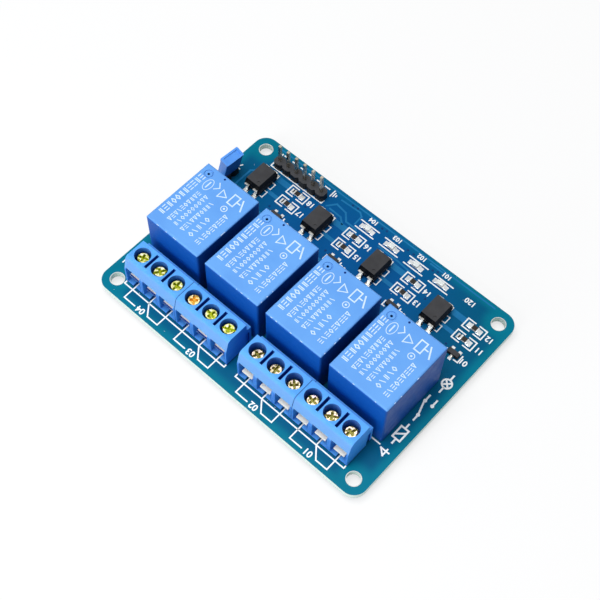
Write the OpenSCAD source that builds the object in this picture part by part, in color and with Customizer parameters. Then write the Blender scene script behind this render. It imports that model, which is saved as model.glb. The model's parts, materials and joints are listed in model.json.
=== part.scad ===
// Four-channel relay board: a circuit board with four sealed relays, twelve screw
// terminals, optocouplers, an input header and a power jumper.
// X runs along the row of relays, the terminals face -Y, and z = 0 is where the
// solder joints under the board touch the table.

/* [Board] */
// Length of the board, along X
board_l = 75.6; // [74:0.1:90]
// Width of the board, along Y
board_w = 54.8; // [53:0.1:70]
// Thickness of the board
board_t = 1.6; // [0.8:0.1:2.4]
// Radius of the board's corners
board_r = 3.2; // [1:0.1:3.2]
// Distance of each mounting hole from both edges
hole_inset = 3.4; // [2.8:0.1:3.6]
// Diameter of the mounting holes
hole_d = 3.1; // [2.5:0.1:3.4]

/* [Solder and pins] */
// Height of the solder joints below the board
joint_h = 1.5; // [1.0:0.1:2.5]
// Radius of a solder joint at the board
joint_r = 0.95; // [0.8:0.05:1.1]
// Radius of a solder joint at its tip
joint_tip_r = 0.6; // [0.58:0.01:0.7]
// Solder left under the end of each pin
joint_cap = 0.3; // [0.1:0.05:0.6]
// Room round a pin in its hole in the board
pin_room = 0.08; // [0.03:0.01:0.12]

/* [Relays] */
// Distance from one relay to the next
relay_pitch = 17.2; // [16:0.1:18]
// Width of a relay, along X
relay_w = 15.2; // [14.6:0.1:15.8]
// Length of a relay, along Y
relay_l = 19; // [18.4:0.1:20]
// Height of a relay over the board
relay_h = 15.2; // [15:0.1:18]
// Wall of the relay covers
cover_wall = 0.7; // [0.5:0.05:1.0]
// Rounding of the covers' edges
cover_r = 0.45; // [0.2:0.05:0.6]
// Diameter of the round vent mark on each cover
vent_d = 2.3; // [1.5:0.1:3]
// Diameter of the vent hole inside the mark
vent_hole_d = 0.6; // [0.4:0.05:0.9]
// Thickness of the relay bases
base_t = 1.8; // [1.2:0.1:2.4]
// Height of the feet under the relay bases
foot_h = 0.3; // [0.2:0.05:0.5]
// Diameter of the relay pins
relay_pin_d = 0.8; // [0.6:0.05:1.0]

/* [Relay mechanism] */
// Thickness of the steel yoke
yoke_t = 1; // [0.8:0.1:1.3]
// Width of the yoke and the armature
yoke_w = 9.6; // [8:0.1:10.5]
// Height of the coil bobbin
bobbin_h = 7.4; // [7:0.1:7.6]
// Diameter of the bobbin's flanges
bobbin_d = 10; // [9:0.1:10.4]
// Thickness of the bobbin's flanges
flange_t = 0.6; // [0.4:0.05:0.9]
// Diameter of the coil winding
coil_d = 8.6; // [7:0.1:8.8]
// Diameter of the steel core
core_d = 3; // [2.4:0.1:3.6]
// Diameter of the pole face on top of the core
pole_d = 5; // [4.4:0.1:6]
// Thickness of the armature
armature_t = 0.8; // [0.6:0.05:1.0]
// Angle of the open armature
armature_open = 4; // [3.5:0.1:4.5]
// Thickness of the contact blades
blade_t = 0.25; // [0.2:0.05:0.35]
// Width of the contact blades
blade_w = 2.6; // [2.2:0.1:3]
// Diameter of the contact buttons
button_d = 1.6; // [1.2:0.1:2]

/* [Terminal blocks] */
// Distance from one terminal to the next
pole_pitch = 5.08; // [5:0.01:5.2]
// Gap between the board's front edge and the blocks
block_setback = 4.4; // [4:0.1:5]
// Gap between the two pairs of blocks
pair_gap = 3.1; // [2:0.1:3.2]
// Shift of the blocks from the middle of the board, along X
block_shift = -0.4; // [-0.5:0.1:0.5]
// Depth of a block, along Y
block_depth = 7.65; // [7.6:0.05:8.2]
// Height of a block
block_h = 9.3; // [9.2:0.1:11]
// Height at which the front face starts to lean back
lean_start = 5.2; // [5:0.1:6]
// Rounding of the front top edge
brow_r = 1.1; // [0.6:0.1:1.4]
// Height of the ledge behind the flat top
ledge_h = 6.8; // [6:0.1:7.5]
// Depth of the flat top, along Y
crown_depth = 4.45; // [4.2:0.05:4.6]
// Diameter of the screw wells
well_d = 3.75; // [3.5:0.05:3.9]
// Width of the wire entries
entry_w = 4.1; // [4.05:0.05:4.3]
// Height of the wire entries' ceiling
entry_top = 6; // [5.5:0.1:6.2]
// Floor of the wire entries
entry_floor = 0.7; // [0.5:0.05:0.9]
// Width of the slit in each entry's floor
slit_w = 0.8; // [0.5:0.05:1.0]
// Width of the slots between the screw wells
slot_w = 0.7; // [0.4:0.05:0.9]
// Length of the slots between the screw wells
slot_l = 4; // [3:0.1:4.2]
// Depth of the slots between the screw wells
slot_depth = 2.6; // [1:0.1:3]
// Gap between two blocks that are dovetailed together
seam = 0.06; // [0.02:0.01:0.1]

/* [Clamps] */
// Width of the metal clamp frames
frame_w = 3.9; // [3.7:0.05:4.0]
// Depth of the clamp frames, along Y
frame_depth = 3.5; // [3.2:0.1:3.5]
// Height of the clamp frames
frame_h = 4.2; // [4:0.1:4.2]
// Thickness of the frames' sides and floor
frame_t = 0.4; // [0.3:0.05:0.5]
// Thickness of the frames' threaded top
frame_top_t = 1; // [0.8:0.05:1.0]
// Diameter of the frames' solder pins
frame_pin_d = 1; // [0.8:0.05:1.1]
// Thickness of the pressure plates
plate_t = 0.4; // [0.3:0.05:0.5]
// Width of the pressure plates
plate_w = 2.8; // [2.4:0.05:2.85]
// How far the pressure plates come out of the frames
plate_nose = 1.6; // [0.8:0.1:1.7]
// Diameter of the screw thread
screw_d = 2.5; // [2:0.05:2.6]
// Diameter of the screw heads
screw_head_d = 3; // [2.9:0.05:3.3]
// Height of the screw heads
screw_head_h = 1.3; // [1.0:0.05:1.4]
// Length of the screws
screw_len = 4.4; // [4.3:0.05:4.5]
// Running clearance round the screw thread
screw_clear = 0.05; // [0.03:0.01:0.08]
// How far the left pair's screws are turned down
left_drop = 0.1; // [0:0.05:2]
// How far the right pair's screws are turned down
right_drop = 0.95; // [0:0.05:2]

/* [Optocouplers] */
// Place of the optocouplers in the free depth behind the relays, as a share
opto_place = 0.87; // [0.5:0.01:0.9]
// Shift of each optocoupler from its relay's centre, along X
opto_shift = -2.85; // [-4:0.05:-1]
// Width of an optocoupler at its parting line
opto_w = 4.5; // [4:0.05:5]
// Length of an optocoupler at its parting line
opto_l = 6.35; // [6:0.05:6.6]
// Height of an optocoupler's body
opto_h = 3.15; // [2.8:0.05:3.5]
// Draft of the body's upper half, on each side
opto_draft = 0.33; // [0.2:0.01:0.4]
// Gap under the body
opto_lift = 0.3; // [0.1:0.05:0.5]
// Thickness of the leads
lead_t = 0.25; // [0.2:0.01:0.3]
// Width of the leads at the shoulder
lead_w = 1.2; // [0.9:0.05:1.4]
// Width of the leads at the foot
lead_foot_w = 0.7; // [0.5:0.05:0.9]

/* [Headers] */
// Pitch of the header pins
pin_pitch = 2.54; // [2.5:0.01:2.6]
// Side of the square header pins
header_pin = 0.64; // [0.5:0.01:0.7]
// Height of the header housings
header_h = 2.2; // [2:0.1:3]
// Chamfer between the housings' segments
header_chamfer = 0.55; // [0.3:0.05:0.7]
// Height of the input pins over their housing
pin_above = 5.4; // [4:0.1:7]
// Distance of the input header's centre from the left edge
header_inset = 15.4; // [15:0.05:16]
// Place of the input header before the back edge, as a share of the strip behind the relays
header_place = 0.205; // [0.17:0.005:0.22]
// Distance of the jumper's pins from the left edge
jumper_setback = 2.05; // [1.8:0.05:2.2]
// Place of the jumper along Y
jumper_y = 12.8; // [12:0.05:14]
// Lean of the jumper's pins towards +X
jumper_lean = 13.5; // [0:0.5:14]
// Twist of the leaning pins about Z
jumper_twist = -4.5; // [-5:0.5:0]
// Width of the jumper cap
cap_w = 2.3; // [2.2:0.05:2.5]
// Length of the jumper cap
cap_l = 4.9; // [4.7:0.05:5.1]
// Height of the jumper cap
cap_h = 6.3; // [5:0.1:6.5]
// Height of the lip round the cap's top
lip_h = 0.6; // [0.3:0.05:0.9]
// How far the lip stands out
lip_out = 0.1; // [0.05:0.01:0.15]

/* [Surface parts] */
// Length of the chip resistors
resistor_l = 2; // [1.6:0.05:2.4]
// Width of the chip resistors
resistor_w = 1.25; // [1:0.05:1.4]
// Height of the chip resistors
resistor_h = 0.5; // [0.4:0.05:0.7]
// Distance between a channel's two resistors
resistor_pitch = 3.65; // [3:0.05:3.8]
// Length of the indicator lamps
lamp_l = 2.4; // [2:0.05:2.8]
// Width of the indicator lamps
lamp_w = 1.2; // [1:0.05:1.4]
// Height of the indicator lamps
lamp_h = 0.8; // [0.6:0.05:1.1]
// Distance from one lamp to the next
lamp_pitch = 7.1; // [6.5:0.05:7.4]
// Place of the lamps before the back edge, as a share of the strip behind the relays
lamp_place = 0.185; // [0.17:0.005:0.2]
// Length of the transistors' bodies
transistor_l = 2.9; // [2.7:0.05:3.1]
// Width of the transistors' bodies
transistor_w = 1.3; // [1.1:0.05:1.5]
// Height of the transistors and diodes
small_h = 1; // [0.8:0.05:1.2]
// Length of the diodes' bodies
diode_l = 2.7; // [2.4:0.05:3]
// Width of the diodes' bodies
diode_w = 1.6; // [1.2:0.05:1.8]

/* [Hidden] */
$fn = 48;
channels = 4;
poles_per_block = 3;
poles = channels * poles_per_block;
header_pins = 6;
jumper_pins = 2;
eps = 0.02;                                // overrun of a cut past a face
top_z = joint_h + board_t;                 // upper face of the board
tip_z = joint_cap;                         // lower end of every soldered pin

// Relays, each with its front face a little behind the terminal blocks
relay_setback = 1.1;
block_front = -board_w / 2 + block_setback;
block_back = block_front + block_depth;
relay_y = block_back + relay_setback + relay_l / 2;
relay_back = relay_y + relay_l / 2;
function relay_x(i) = (i - (channels - 1) / 2) * relay_pitch;

// Pins of a relay as [x, y] from its centre: common, two coil pins, two contacts
fit_gap = 0.03;                            // cover to base, and other close seats
inner_w = relay_w - 2 * cover_wall;
inner_l = relay_l - 2 * cover_wall;
pin_side = inner_w / 2 - 0.9;
common_pin = [0, inner_l / 2 - 0.65];
coil_pins = [[-pin_side, inner_l / 2 - 2.9], [pin_side, inner_l / 2 - 2.9]];
contact_y = -inner_l / 2 + 1.2;
contact_pins = [[-pin_side, contact_y], [pin_side, contact_y]];
relay_pins = concat([common_pin], coil_pins, contact_pins);

// Heights inside a relay, over the board
base_top = foot_h + base_t;
pole_t = 0.5;
yoke_top = base_top + yoke_t + bobbin_h + pole_t;
coil_y = 1.3;                              // centre of the coil, from the relay's centre
yoke_back = common_pin[1] - relay_pin_d / 2 - 0.15;
yoke_front = coil_y - pole_d / 2 - 0.6;
pivot_y = yoke_back - yoke_t / 2;
armature_gap = 0.05;                       // shut armature over the yoke and the pole face
pivot_z = yoke_top + armature_gap + armature_t / 2;
armature_front = coil_y - pole_d / 2 - 1.2;
button_y = contact_y;
button_h = 0.35;
anvil_h = 0.3;                             // buttons on the fixed contacts
// The blade's tip lies this high over the pivot when the armature is open or shut
tip_reach = pivot_y - button_y;
tip_open = tip_reach * sin(armature_open);

// Terminals
block_l = poles_per_block * pole_pitch;
pair_l = 2 * block_l;
function block_x(b) =
    block_shift + (b < 2 ? -1 : 1) * (pair_gap + pair_l) / 2 + (b % 2 == 0 ? -1 : 1) * block_l / 2;
function pole_x(k) =
    block_x(floor(k / poles_per_block)) + (k % poles_per_block - (poles_per_block - 1) / 2) * pole_pitch;
crown_back = block_depth - 1.35;
crown_front = crown_back - crown_depth;
screw_y = crown_front + 1.8;               // screw axis, from the block's front face
frame_y = screw_y - frame_depth / 2;
frame_floor = entry_floor;
frame_top = frame_floor + frame_h;
cavity_back = screw_y + frame_depth / 2 + 0.05;
cavity_top = frame_top + 0.05;
entry_depth = frame_y - 0.35;
plate_high = frame_top - frame_top_t - 0.05;  // top of a pressure plate that is fully raised
screw_tip_gap = 0.05;
dovetail_w = 0.9;
dovetail_depth = 0.45;
dovetail_flare = 0.12;
dovetail_room = 0.05;
dovetail_y = block_depth - 1.1;
dovetail_h = 5.4;
function drop(k) = k < poles / 2 ? left_drop : right_drop;

// Places of the small parts
lead_out = 0.5;                            // reach of a lead's shoulder, and length of its foot
lead_foot = 0.75;
strip_l = board_w / 2 - relay_back;        // depth of the board behind the relays
header_x = -board_l / 2 + header_inset;
header_y = board_w / 2 - strip_l * header_place;
opto_reach = opto_l / 2 + lead_out - lead_t + lead_foot;
opto_free = header_y - pin_pitch / 2 - relay_back - 2 * opto_reach;
opto_y = relay_back + opto_reach + opto_free * opto_place;
transistor_y = relay_back + strip_l * 0.302;
transistor_shift = 5.9;
diode_y = relay_back + strip_l * 0.115;
diode_shift = 1.6;
resistor_shift = 5.5;
resistor_y = opto_y + 3.3;
lamp_shift = 8.3;
lamp_y = board_w / 2 - strip_l * lamp_place;
jumper_x = -board_l / 2 + jumper_setback;
cap_lift = cap_w / 2 * tan(jumper_lean) + 0.05;  // the leaning cap clears its housing
cap_roof = 0.6;
jumper_pin_above = cap_lift + cap_h - cap_roof - 0.3;
clip_t = 0.2;
mould_mid = 0.5;                           // parting line as a share of a body's height

// ---- Shared shapes ----

// Rectangle with four round corners, centred
module round_rect(w, l, r) {
    square([w - 2 * r, l], center = true);
    square([w, l - 2 * r], center = true);
    for (sx = [-1, 1], sy = [-1, 1])
        translate([sx * (w / 2 - r), sy * (l / 2 - r)]) circle(r = r);
}

// Rectangle standing on the X axis with two round upper corners
module arch(w, h, r) {
    translate([-w / 2, 0]) square([w, h - r]);
    translate([-w / 2 + r, 0]) square([w - 2 * r, h]);
    for (s = [-1, 1])
        translate([s * (w / 2 - r), h - r]) circle(r = r);
}

// Extrudes a profile drawn in Y and Z along X, centred
module along_x(w) {
    translate([-w / 2, 0, 0]) rotate([90, 0, 90]) linear_extrude(w) children();
}

// Extrudes a profile drawn in X and Z along Y, centred
module along_y(l) {
    translate([0, l / 2, 0]) rotate([90, 0, 0]) linear_extrude(l) children();
}

// Box with round upright edges and a round top rim
module soft_box(w, l, h, r) {
    intersection() {
        linear_extrude(h) round_rect(w, l, r);
        along_y(l) arch(w, h, r);
        along_x(w) arch(l, h, r);
    }
}

// Block centred in X and Y, from z0 up
module block(size, z0 = 0) {
    translate([-size[0] / 2, -size[1] / 2, z0]) cube(size);
}

// Half outline of a moulded body: narrower at the top and bottom than at mid height
function drafted(w, h, draft) = [
    [-w / 2 + draft * 0.7, 0], [w / 2 - draft * 0.7, 0], [w / 2, h * mould_mid],
    [w / 2 - draft, h], [-w / 2 + draft, h], [-w / 2, h * mould_mid]
];

// Moulded body with drafted sides all round
module moulded(w, l, h, draft) {
    intersection() {
        along_y(l) polygon(drafted(w, h, draft));
        along_x(w) polygon(drafted(l, h, draft));
    }
}

// Copies the children to every place where a round pin goes through the board
module at_relay_pins() {
    for (i = [0:channels - 1], p = relay_pins)
        translate([relay_x(i) + p[0], relay_y + p[1], 0]) children();
}

module at_frame_pins() {
    for (k = [0:poles - 1])
        translate([pole_x(k), block_front + screw_y, 0]) children();
}

module at_square_pins() {
    for (k = [0:header_pins - 1])
        translate([header_x + (k - (header_pins - 1) / 2) * pin_pitch, header_y, 0]) children();
    for (k = [0:jumper_pins - 1])
        translate([jumper_x, jumper_y + (k - (jumper_pins - 1) / 2) * pin_pitch, 0]) children();
}

module square_pin(h, side = header_pin) {
    block([side, side, h]);
}

// ---- Board ----

module circuit_board() {
    color("#0d7f96")
    translate([0, 0, joint_h])
    difference() {
        linear_extrude(board_t) round_rect(board_l, board_w, board_r);
        for (sx = [-1, 1], sy = [-1, 1])
            translate([sx * (board_l / 2 - hole_inset), sy * (board_w / 2 - hole_inset), -eps])
                cylinder(d = hole_d, h = board_t + 2 * eps);
        translate([0, 0, -eps]) {
            at_relay_pins() cylinder(d = relay_pin_d + 2 * pin_room, h = board_t + 2 * eps);
            at_frame_pins() cylinder(d = frame_pin_d + 2 * pin_room, h = board_t + 2 * eps);
            at_square_pins() cylinder(r = header_pin / sqrt(2) + pin_room, h = board_t + 2 * eps);
        }
    }
}

// Cone of solder that hangs under the board and wraps a pin's end
module solder_cone() {
    rotate_extrude()
        polygon([[0, 0], [joint_tip_r, 0], [joint_r, joint_h - 0.2], [joint_r, joint_h], [0, joint_h]]);
}

module solder_joints() {
    color("#b9bcc0") {
        at_relay_pins() difference() {
            solder_cone();
            translate([0, 0, tip_z]) cylinder(d = relay_pin_d, h = joint_h);
        }
        at_frame_pins() difference() {
            solder_cone();
            translate([0, 0, tip_z]) cylinder(d = frame_pin_d, h = joint_h);
        }
        at_square_pins() difference() {
            solder_cone();
            translate([0, 0, tip_z]) square_pin(joint_h);
        }
    }
}

// ---- Relays ----

// Moulded cover, open below, with a vent mark near its rear left corner
module relay_cover(i) {
    cover_h = relay_h - foot_h;
    vent_at = [-relay_w / 2 + 2.2, relay_l / 2 - 2.2, cover_h];
    color("#2f7fe0")
    translate([relay_x(i), relay_y, top_z + foot_h])
    difference() {
        soft_box(relay_w, relay_l, cover_h, cover_r);
        translate([0, 0, -eps])
            linear_extrude(cover_h - cover_wall + eps)
                square([inner_w, inner_l], center = true);
        translate(vent_at) {
            rotate_extrude()
                translate([vent_d / 2 - 0.2, 0]) circle(r = 0.15);
            translate([0, 0, -cover_wall - eps])
                cylinder(d = vent_hole_d, h = cover_wall + 2 * eps);
        }
    }
}

// Base plate with four feet, the pins' holes and a shelf for the yoke
module relay_base() {
    difference() {
        union() {
            block([inner_w - 2 * fit_gap, inner_l - 2 * fit_gap, base_t], foot_h);
            for (sx = [-1, 1], sy = [-1, 1])
                translate([sx * (inner_w / 2 - 1), sy * (inner_l / 2 - 3.4), 0])
                    cylinder(d = 1.4, h = foot_h + eps);
        }
        for (p = relay_pins)
            translate([p[0], p[1], -eps])
                cylinder(d = relay_pin_d + 2 * fit_gap, h = base_top + 2 * eps);
    }
}

module relay_bases() {
    color("#1c3f6e")
    for (i = [0:channels - 1])
        translate([relay_x(i), relay_y, top_z]) relay_base();
}

// Spool on the core, with two round flanges
module relay_bobbin() {
    core_room = core_d / 2 + fit_gap;
    translate([0, coil_y, base_top + yoke_t])
    rotate_extrude()
        polygon([
            [core_room, 0], [bobbin_d / 2, 0], [bobbin_d / 2, flange_t],
            [core_room + 0.6, flange_t], [core_room + 0.6, bobbin_h - flange_t],
            [bobbin_d / 2, bobbin_h - flange_t], [bobbin_d / 2, bobbin_h], [core_room, bobbin_h]
        ]);
}

module relay_bobbins() {
    color("#e9e4d4")
    for (i = [0:channels - 1])
        translate([relay_x(i), relay_y, top_z]) relay_bobbin();
}

module relay_windings() {
    spool_r = core_d / 2 + fit_gap + 0.6;
    color("#b5622c")
    for (i = [0:channels - 1])
        translate([relay_x(i), relay_y + coil_y, top_z + base_top + yoke_t + flange_t])
            difference() {
                cylinder(d = coil_d, h = bobbin_h - 2 * flange_t);
                translate([0, 0, -eps]) cylinder(r = spool_r, h = bobbin_h);
            }
}

// Bent yoke under and behind the coil, with the core riveted into it
module relay_yoke() {
    wall_l = yoke_back - yoke_front;
    translate([0, (yoke_back + yoke_front) / 2, 0]) block([yoke_w, wall_l, yoke_t], base_top);
    translate([0, yoke_back - yoke_t / 2, 0])
        block([yoke_w, yoke_t, yoke_top - base_top], base_top);
    translate([0, coil_y, base_top]) cylinder(d = core_d, h = yoke_t + bobbin_h + eps);
    translate([0, coil_y, base_top + yoke_t + bobbin_h]) cylinder(d = pole_d, h = pole_t);
}

module relay_yokes() {
    color("#8d9196")
    for (i = [0:channels - 1])
        translate([relay_x(i), relay_y, top_z]) relay_yoke();
}

// Moving contact: armature plate with a round rear edge, blade and button, opened at its pivot
module relay_armature(i) {
    plate_l = pivot_y - armature_front;
    blade_l = armature_front + 2 - (button_y - button_d / 2);
    color("#a9adb2")
    translate([relay_x(i), relay_y + pivot_y, top_z + pivot_z])
    rotate([-armature_open, 0, 0]) {
        translate([-yoke_w / 2, 0, 0]) rotate([0, 90, 0]) cylinder(d = armature_t, h = yoke_w);
        translate([0, -plate_l / 2, 0]) block([yoke_w, plate_l, armature_t], -armature_t / 2);
        translate([0, armature_front + 2 - blade_l / 2 - pivot_y, 0])
            block([blade_w, blade_l, blade_t + eps], armature_t / 2 - eps);
        translate([0, button_y - pivot_y, armature_t / 2 - button_h])
            cylinder(d = button_d, h = 2 * button_h + blade_t);
    }
}

// Fixed contact: a round pin, a strip up the end wall and an arm over or under the blade
module fixed_contact(side, arm_z, below) {
    strip_x = side * (pin_side - 0.2);
    strip_t = 0.5;
    arm_reach = abs(strip_x) + button_d / 2;
    foot_z = base_top;
    translate([side * pin_side, contact_y, 0]) pin_down(foot_z);
    translate([side * pin_side, contact_y, 0]) block([1.2, strip_t + 0.6, 0.5], foot_z);
    translate([side * pin_side, contact_y, 0])
        block([1.2, strip_t, arm_z - foot_z + strip_t], foot_z);
    translate([side * (arm_reach / 2 - button_d / 2 + 0.3), contact_y, 0])
        block([arm_reach + 0.6, button_d, strip_t], arm_z);
    translate([0, contact_y, below ? arm_z + strip_t - eps : arm_z - anvil_h])
        cylinder(d = button_d, h = anvil_h + eps);
}

// Lower, round part of a relay pin, from its tip under the board to height z over it
module pin_down(z) {
    translate([0, 0, tip_z - top_z]) cylinder(d = relay_pin_d, h = top_z - tip_z + z);
}

module relay_contacts() {
    // Height of the blade's button over the board, at its upper and lower faces when open
    button_mid = pivot_z + tip_open + (armature_t + blade_t) / 2 * cos(armature_open);
    button_span = button_h + blade_t / 2;
    rest_gap = 0.12;
    upper_arm = button_mid + button_span + rest_gap + anvil_h;
    lower_arm = button_mid - tip_open - button_span - rest_gap - anvil_h - 0.5;
    color("#c9a25a")
    for (i = [0:channels - 1])
        translate([relay_x(i), relay_y, top_z]) {
            fixed_contact(1, upper_arm, false);
            fixed_contact(-1, lower_arm, true);
            translate(common_pin) pin_down(base_top + 2.5);
            for (p = coil_pins) translate(p) pin_down(base_top + 1.5);
        }
}

// ---- Terminal blocks ----

// Points along an arc, from angle a0 to a1
function arc(cx, cy, r, a0, a1, steps) =
    [for (s = [0:steps]) let (a = a0 + (a1 - a0) * s / steps) [cx + r * cos(a), cy + r * sin(a)]];

// Side outline of a block: upright front, leaning brow, flat crown, sloped back, undercut foot
function block_outline() = concat(
    [[0, 0], [0, lean_start]],
    arc(crown_front, block_h - brow_r, brow_r, 165, 90, 8),
    [[crown_back, block_h], [crown_back + 0.1, ledge_h + 0.3], [crown_back + 0.4, ledge_h],
     [block_depth, ledge_h], [block_depth, 1.6], [block_depth - 0.75, 0.4], [block_depth - 0.75, 0]]
);

// Dovetail seen from above, standing out to -X from the Y axis
module dovetail(room) {
    polygon([
        [eps, -dovetail_w / 2 - room], [-dovetail_depth - room, -dovetail_w / 2 - dovetail_flare - room],
        [-dovetail_depth - room, dovetail_w / 2 + dovetail_flare + room], [eps, dovetail_w / 2 + room]
    ]);
}

// Everything that is cut out round one pole
module pole_cut() {
    translate([0, screw_y, cavity_top - eps]) cylinder(d = well_d, h = block_h);
    translate([-entry_w / 2, -eps, entry_floor]) cube([entry_w, cavity_back + eps, cavity_top - entry_floor]);
    translate([-entry_w / 2, -eps, cavity_top - eps]) cube([entry_w, entry_depth, entry_top - cavity_top + eps]);
    translate([-slit_w / 2, -eps, -eps]) cube([slit_w, entry_depth, entry_floor + 2 * eps]);
    translate([0, screw_y, -eps]) cylinder(d = frame_pin_d + 0.4, h = entry_floor + 2 * eps);
}

module terminal_block(b) {
    color("#2b86e8")
    translate([block_x(b), block_front, top_z])
    difference() {
        union() {
            along_x(block_l - seam) polygon(block_outline());
            translate([-(block_l - seam) / 2, dovetail_y, 0])
                linear_extrude(dovetail_h - 2 * dovetail_room) dovetail(0);
        }
        for (k = [0:poles_per_block - 1])
            translate([(k - (poles_per_block - 1) / 2) * pole_pitch, 0, 0]) pole_cut();
        for (k = [1:poles_per_block - 1])
            translate([(k - poles_per_block / 2) * pole_pitch, screw_y + 0.15, 0])
                block([slot_w, slot_l, block_h], block_h - slot_depth);
        translate([(block_l + seam) / 2, dovetail_y, -eps])
            linear_extrude(dovetail_h) dovetail(dovetail_room);
    }
}

// Metal frame round the wire, with a threaded top and a solder pin
module clamp_frame() {
    difference() {
        translate([-frame_w / 2, frame_y, frame_floor]) cube([frame_w, frame_depth, frame_h]);
        translate([-frame_w / 2 + frame_t, frame_y - eps, frame_floor + frame_t])
            cube([frame_w - 2 * frame_t, frame_depth + 2 * eps, frame_h - frame_t - frame_top_t]);
        translate([0, screw_y, frame_top - frame_top_t - eps])
            cylinder(r = screw_d / 2 + screw_clear, h = frame_top_t + 2 * eps);
    }
    translate([0, screw_y, tip_z - top_z])
        cylinder(d = frame_pin_d, h = top_z - tip_z + frame_floor + eps);
}

module clamp_frames() {
    color("#d8d2be")
    for (k = [0:poles - 1])
        translate([pole_x(k), block_front, top_z]) clamp_frame();
}

// Plate that the screw presses onto the wire, with a nose that shows in the entry
module pressure_plate(k) {
    plate_l = frame_depth - 0.4 + plate_nose;
    color("#ece6d2")
    translate([pole_x(k), block_front + frame_y - plate_nose, top_z + plate_high - plate_t - drop(k)])
        translate([-plate_w / 2, 0, 0]) cube([plate_w, plate_l, plate_t]);
}

// Screw with a combined cross and slot drive
module terminal_screw(k) {
    head_z = screw_len - screw_head_h;
    drive_depth = 0.75;
    color("#cfc489")
    translate([pole_x(k), block_front + screw_y, top_z + plate_high + screw_tip_gap - drop(k)])
    difference() {
        rotate_extrude()
            polygon([
                [0, 0], [screw_d / 2 - 0.2, 0], [screw_d / 2, 0.2], [screw_d / 2, head_z],
                [screw_head_d / 2, head_z], [screw_head_d / 2, screw_len - 0.35],
                [screw_head_d / 2 - 0.3, screw_len], [0, screw_len]
            ]);
        rotate([0, 0, 20 + 37 * k]) {
            block([screw_head_d + 1, 0.45, 1], screw_len - 0.5);
            for (a = [0, 90])
                rotate([0, 0, a]) block([screw_head_d * 0.62, 0.6, 1], screw_len - drive_depth);
        }
    }
}

// ---- Optocouplers ----

module optocoupler(i) {
    color("#3a3a3c")
    translate([relay_x(i) + opto_shift, opto_y, top_z + opto_lift])
    difference() {
        moulded(opto_w, opto_l, opto_h, opto_draft);
        translate([opto_w / 2 - 1.1, -opto_l / 2 + 1.1, opto_h - 0.12]) cylinder(d = 0.8, h = 1);
    }
}

// Gull-wing lead, from the body's end at mid height down to its foot
module opto_lead() {
    mid = opto_lift + opto_h * mould_mid;
    translate([0, 0, mid - lead_t / 2]) translate([-lead_w / 2, 0, 0]) cube([lead_w, lead_out, lead_t]);
    translate([-lead_w / 2, lead_out - lead_t, mid - 0.55]) cube([lead_w, lead_t, 0.55]);
    translate([-lead_foot_w / 2, lead_out - lead_t, 0]) cube([lead_foot_w, lead_t, mid]);
    translate([-lead_foot_w / 2, lead_out - lead_t, 0]) cube([lead_foot_w, lead_foot, lead_t]);
}

module optocoupler_leads() {
    color("#d9dcdf")
    for (i = [0:channels - 1], end = [0, 180], sx = [-1, 1])
        translate([relay_x(i) + opto_shift, opto_y, top_z]) rotate([0, 0, end])
            translate([sx * pin_pitch / 2, opto_l / 2, 0]) opto_lead();
}

// ---- Headers ----

// Row of chamfered segments along X, with a square hole for each pin
module pin_strip(count) {
    difference() {
        for (k = [0:count - 1])
            translate([(k - (count - 1) / 2) * pin_pitch, 0, 0])
                linear_extrude(header_h) chamfered_square(pin_pitch);
        for (k = [0:count - 1])
            translate([(k - (count - 1) / 2) * pin_pitch, 0, -eps]) square_pin(header_h + 2 * eps);
    }
}

module chamfered_square(side) {
    c = side / 2;
    d = c - header_chamfer;
    polygon([[c, d], [d, c], [-d, c], [-c, d], [-c, -d], [-d, -c], [d, -c], [c, -d]]);
}

module header_housing() {
    color("#2b2b2d")
    translate([header_x, header_y, top_z]) pin_strip(header_pins);
}

module header_pins_row() {
    color("#c8c3b4")
    for (k = [0:header_pins - 1])
        translate([header_x + (k - (header_pins - 1) / 2) * pin_pitch, header_y, tip_z])
            square_pin(top_z - tip_z + header_h + pin_above);
}

module jumper_housing() {
    color("#2b2b2d")
    translate([jumper_x, jumper_y, top_z]) rotate([0, 0, 90]) pin_strip(jumper_pins);
}

// Places the children on the leaning part of the jumper's pins
module leaning() {
    translate([jumper_x, jumper_y, top_z + header_h])
        rotate([0, jumper_lean, jumper_twist]) children();
}

// Each pin is straight through the housing and bent just above it
module jumper_pins_pair() {
    bend = 0.12;
    color("#c8c3b4")
    for (k = [0:jumper_pins - 1]) {
        y = (k - (jumper_pins - 1) / 2) * pin_pitch;
        translate([jumper_x, jumper_y + y, tip_z]) square_pin(top_z - tip_z + header_h + 2 * bend);
        leaning() translate([0, y, 0])
            block([header_pin, header_pin, jumper_pin_above - bend], bend);
    }
}

// Cap with a lip round its top, a shallow dish in it and a slot for the clip and the pins
module jumper_cap() {
    slot_x = header_pin + 2 * clip_t + 0.1;
    color("#2f86ea")
    leaning() translate([0, 0, cap_lift])
    difference() {
        union() {
            linear_extrude(cap_h) round_rect(cap_w, cap_l, 0.2);
            translate([0, 0, cap_h - lip_h])
                linear_extrude(lip_h) round_rect(cap_w + 2 * lip_out, cap_l + 2 * lip_out, 0.25);
        }
        block([slot_x, cap_l - 1, cap_h - cap_roof + eps], -eps);
        block([cap_w - 0.8, cap_l - 0.9, 1], cap_h - 0.2);
    }
}

// Folded clip that joins the two pins inside the cap
module jumper_clip() {
    clip_l = cap_l - 1.1;
    color("#cfc9b8")
    leaning() translate([0, 0, cap_lift]) {
        for (s = [-1, 1])
            translate([s * (header_pin / 2 + 0.03 + clip_t / 2), 0, 0])
                block([clip_t, clip_l, cap_h - cap_roof - 0.3], 0.25);
        block([header_pin + 0.06 + clip_t, clip_l, clip_t], cap_h - cap_roof - clip_t - 0.03);
    }
}

// ---- Surface parts ----

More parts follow.
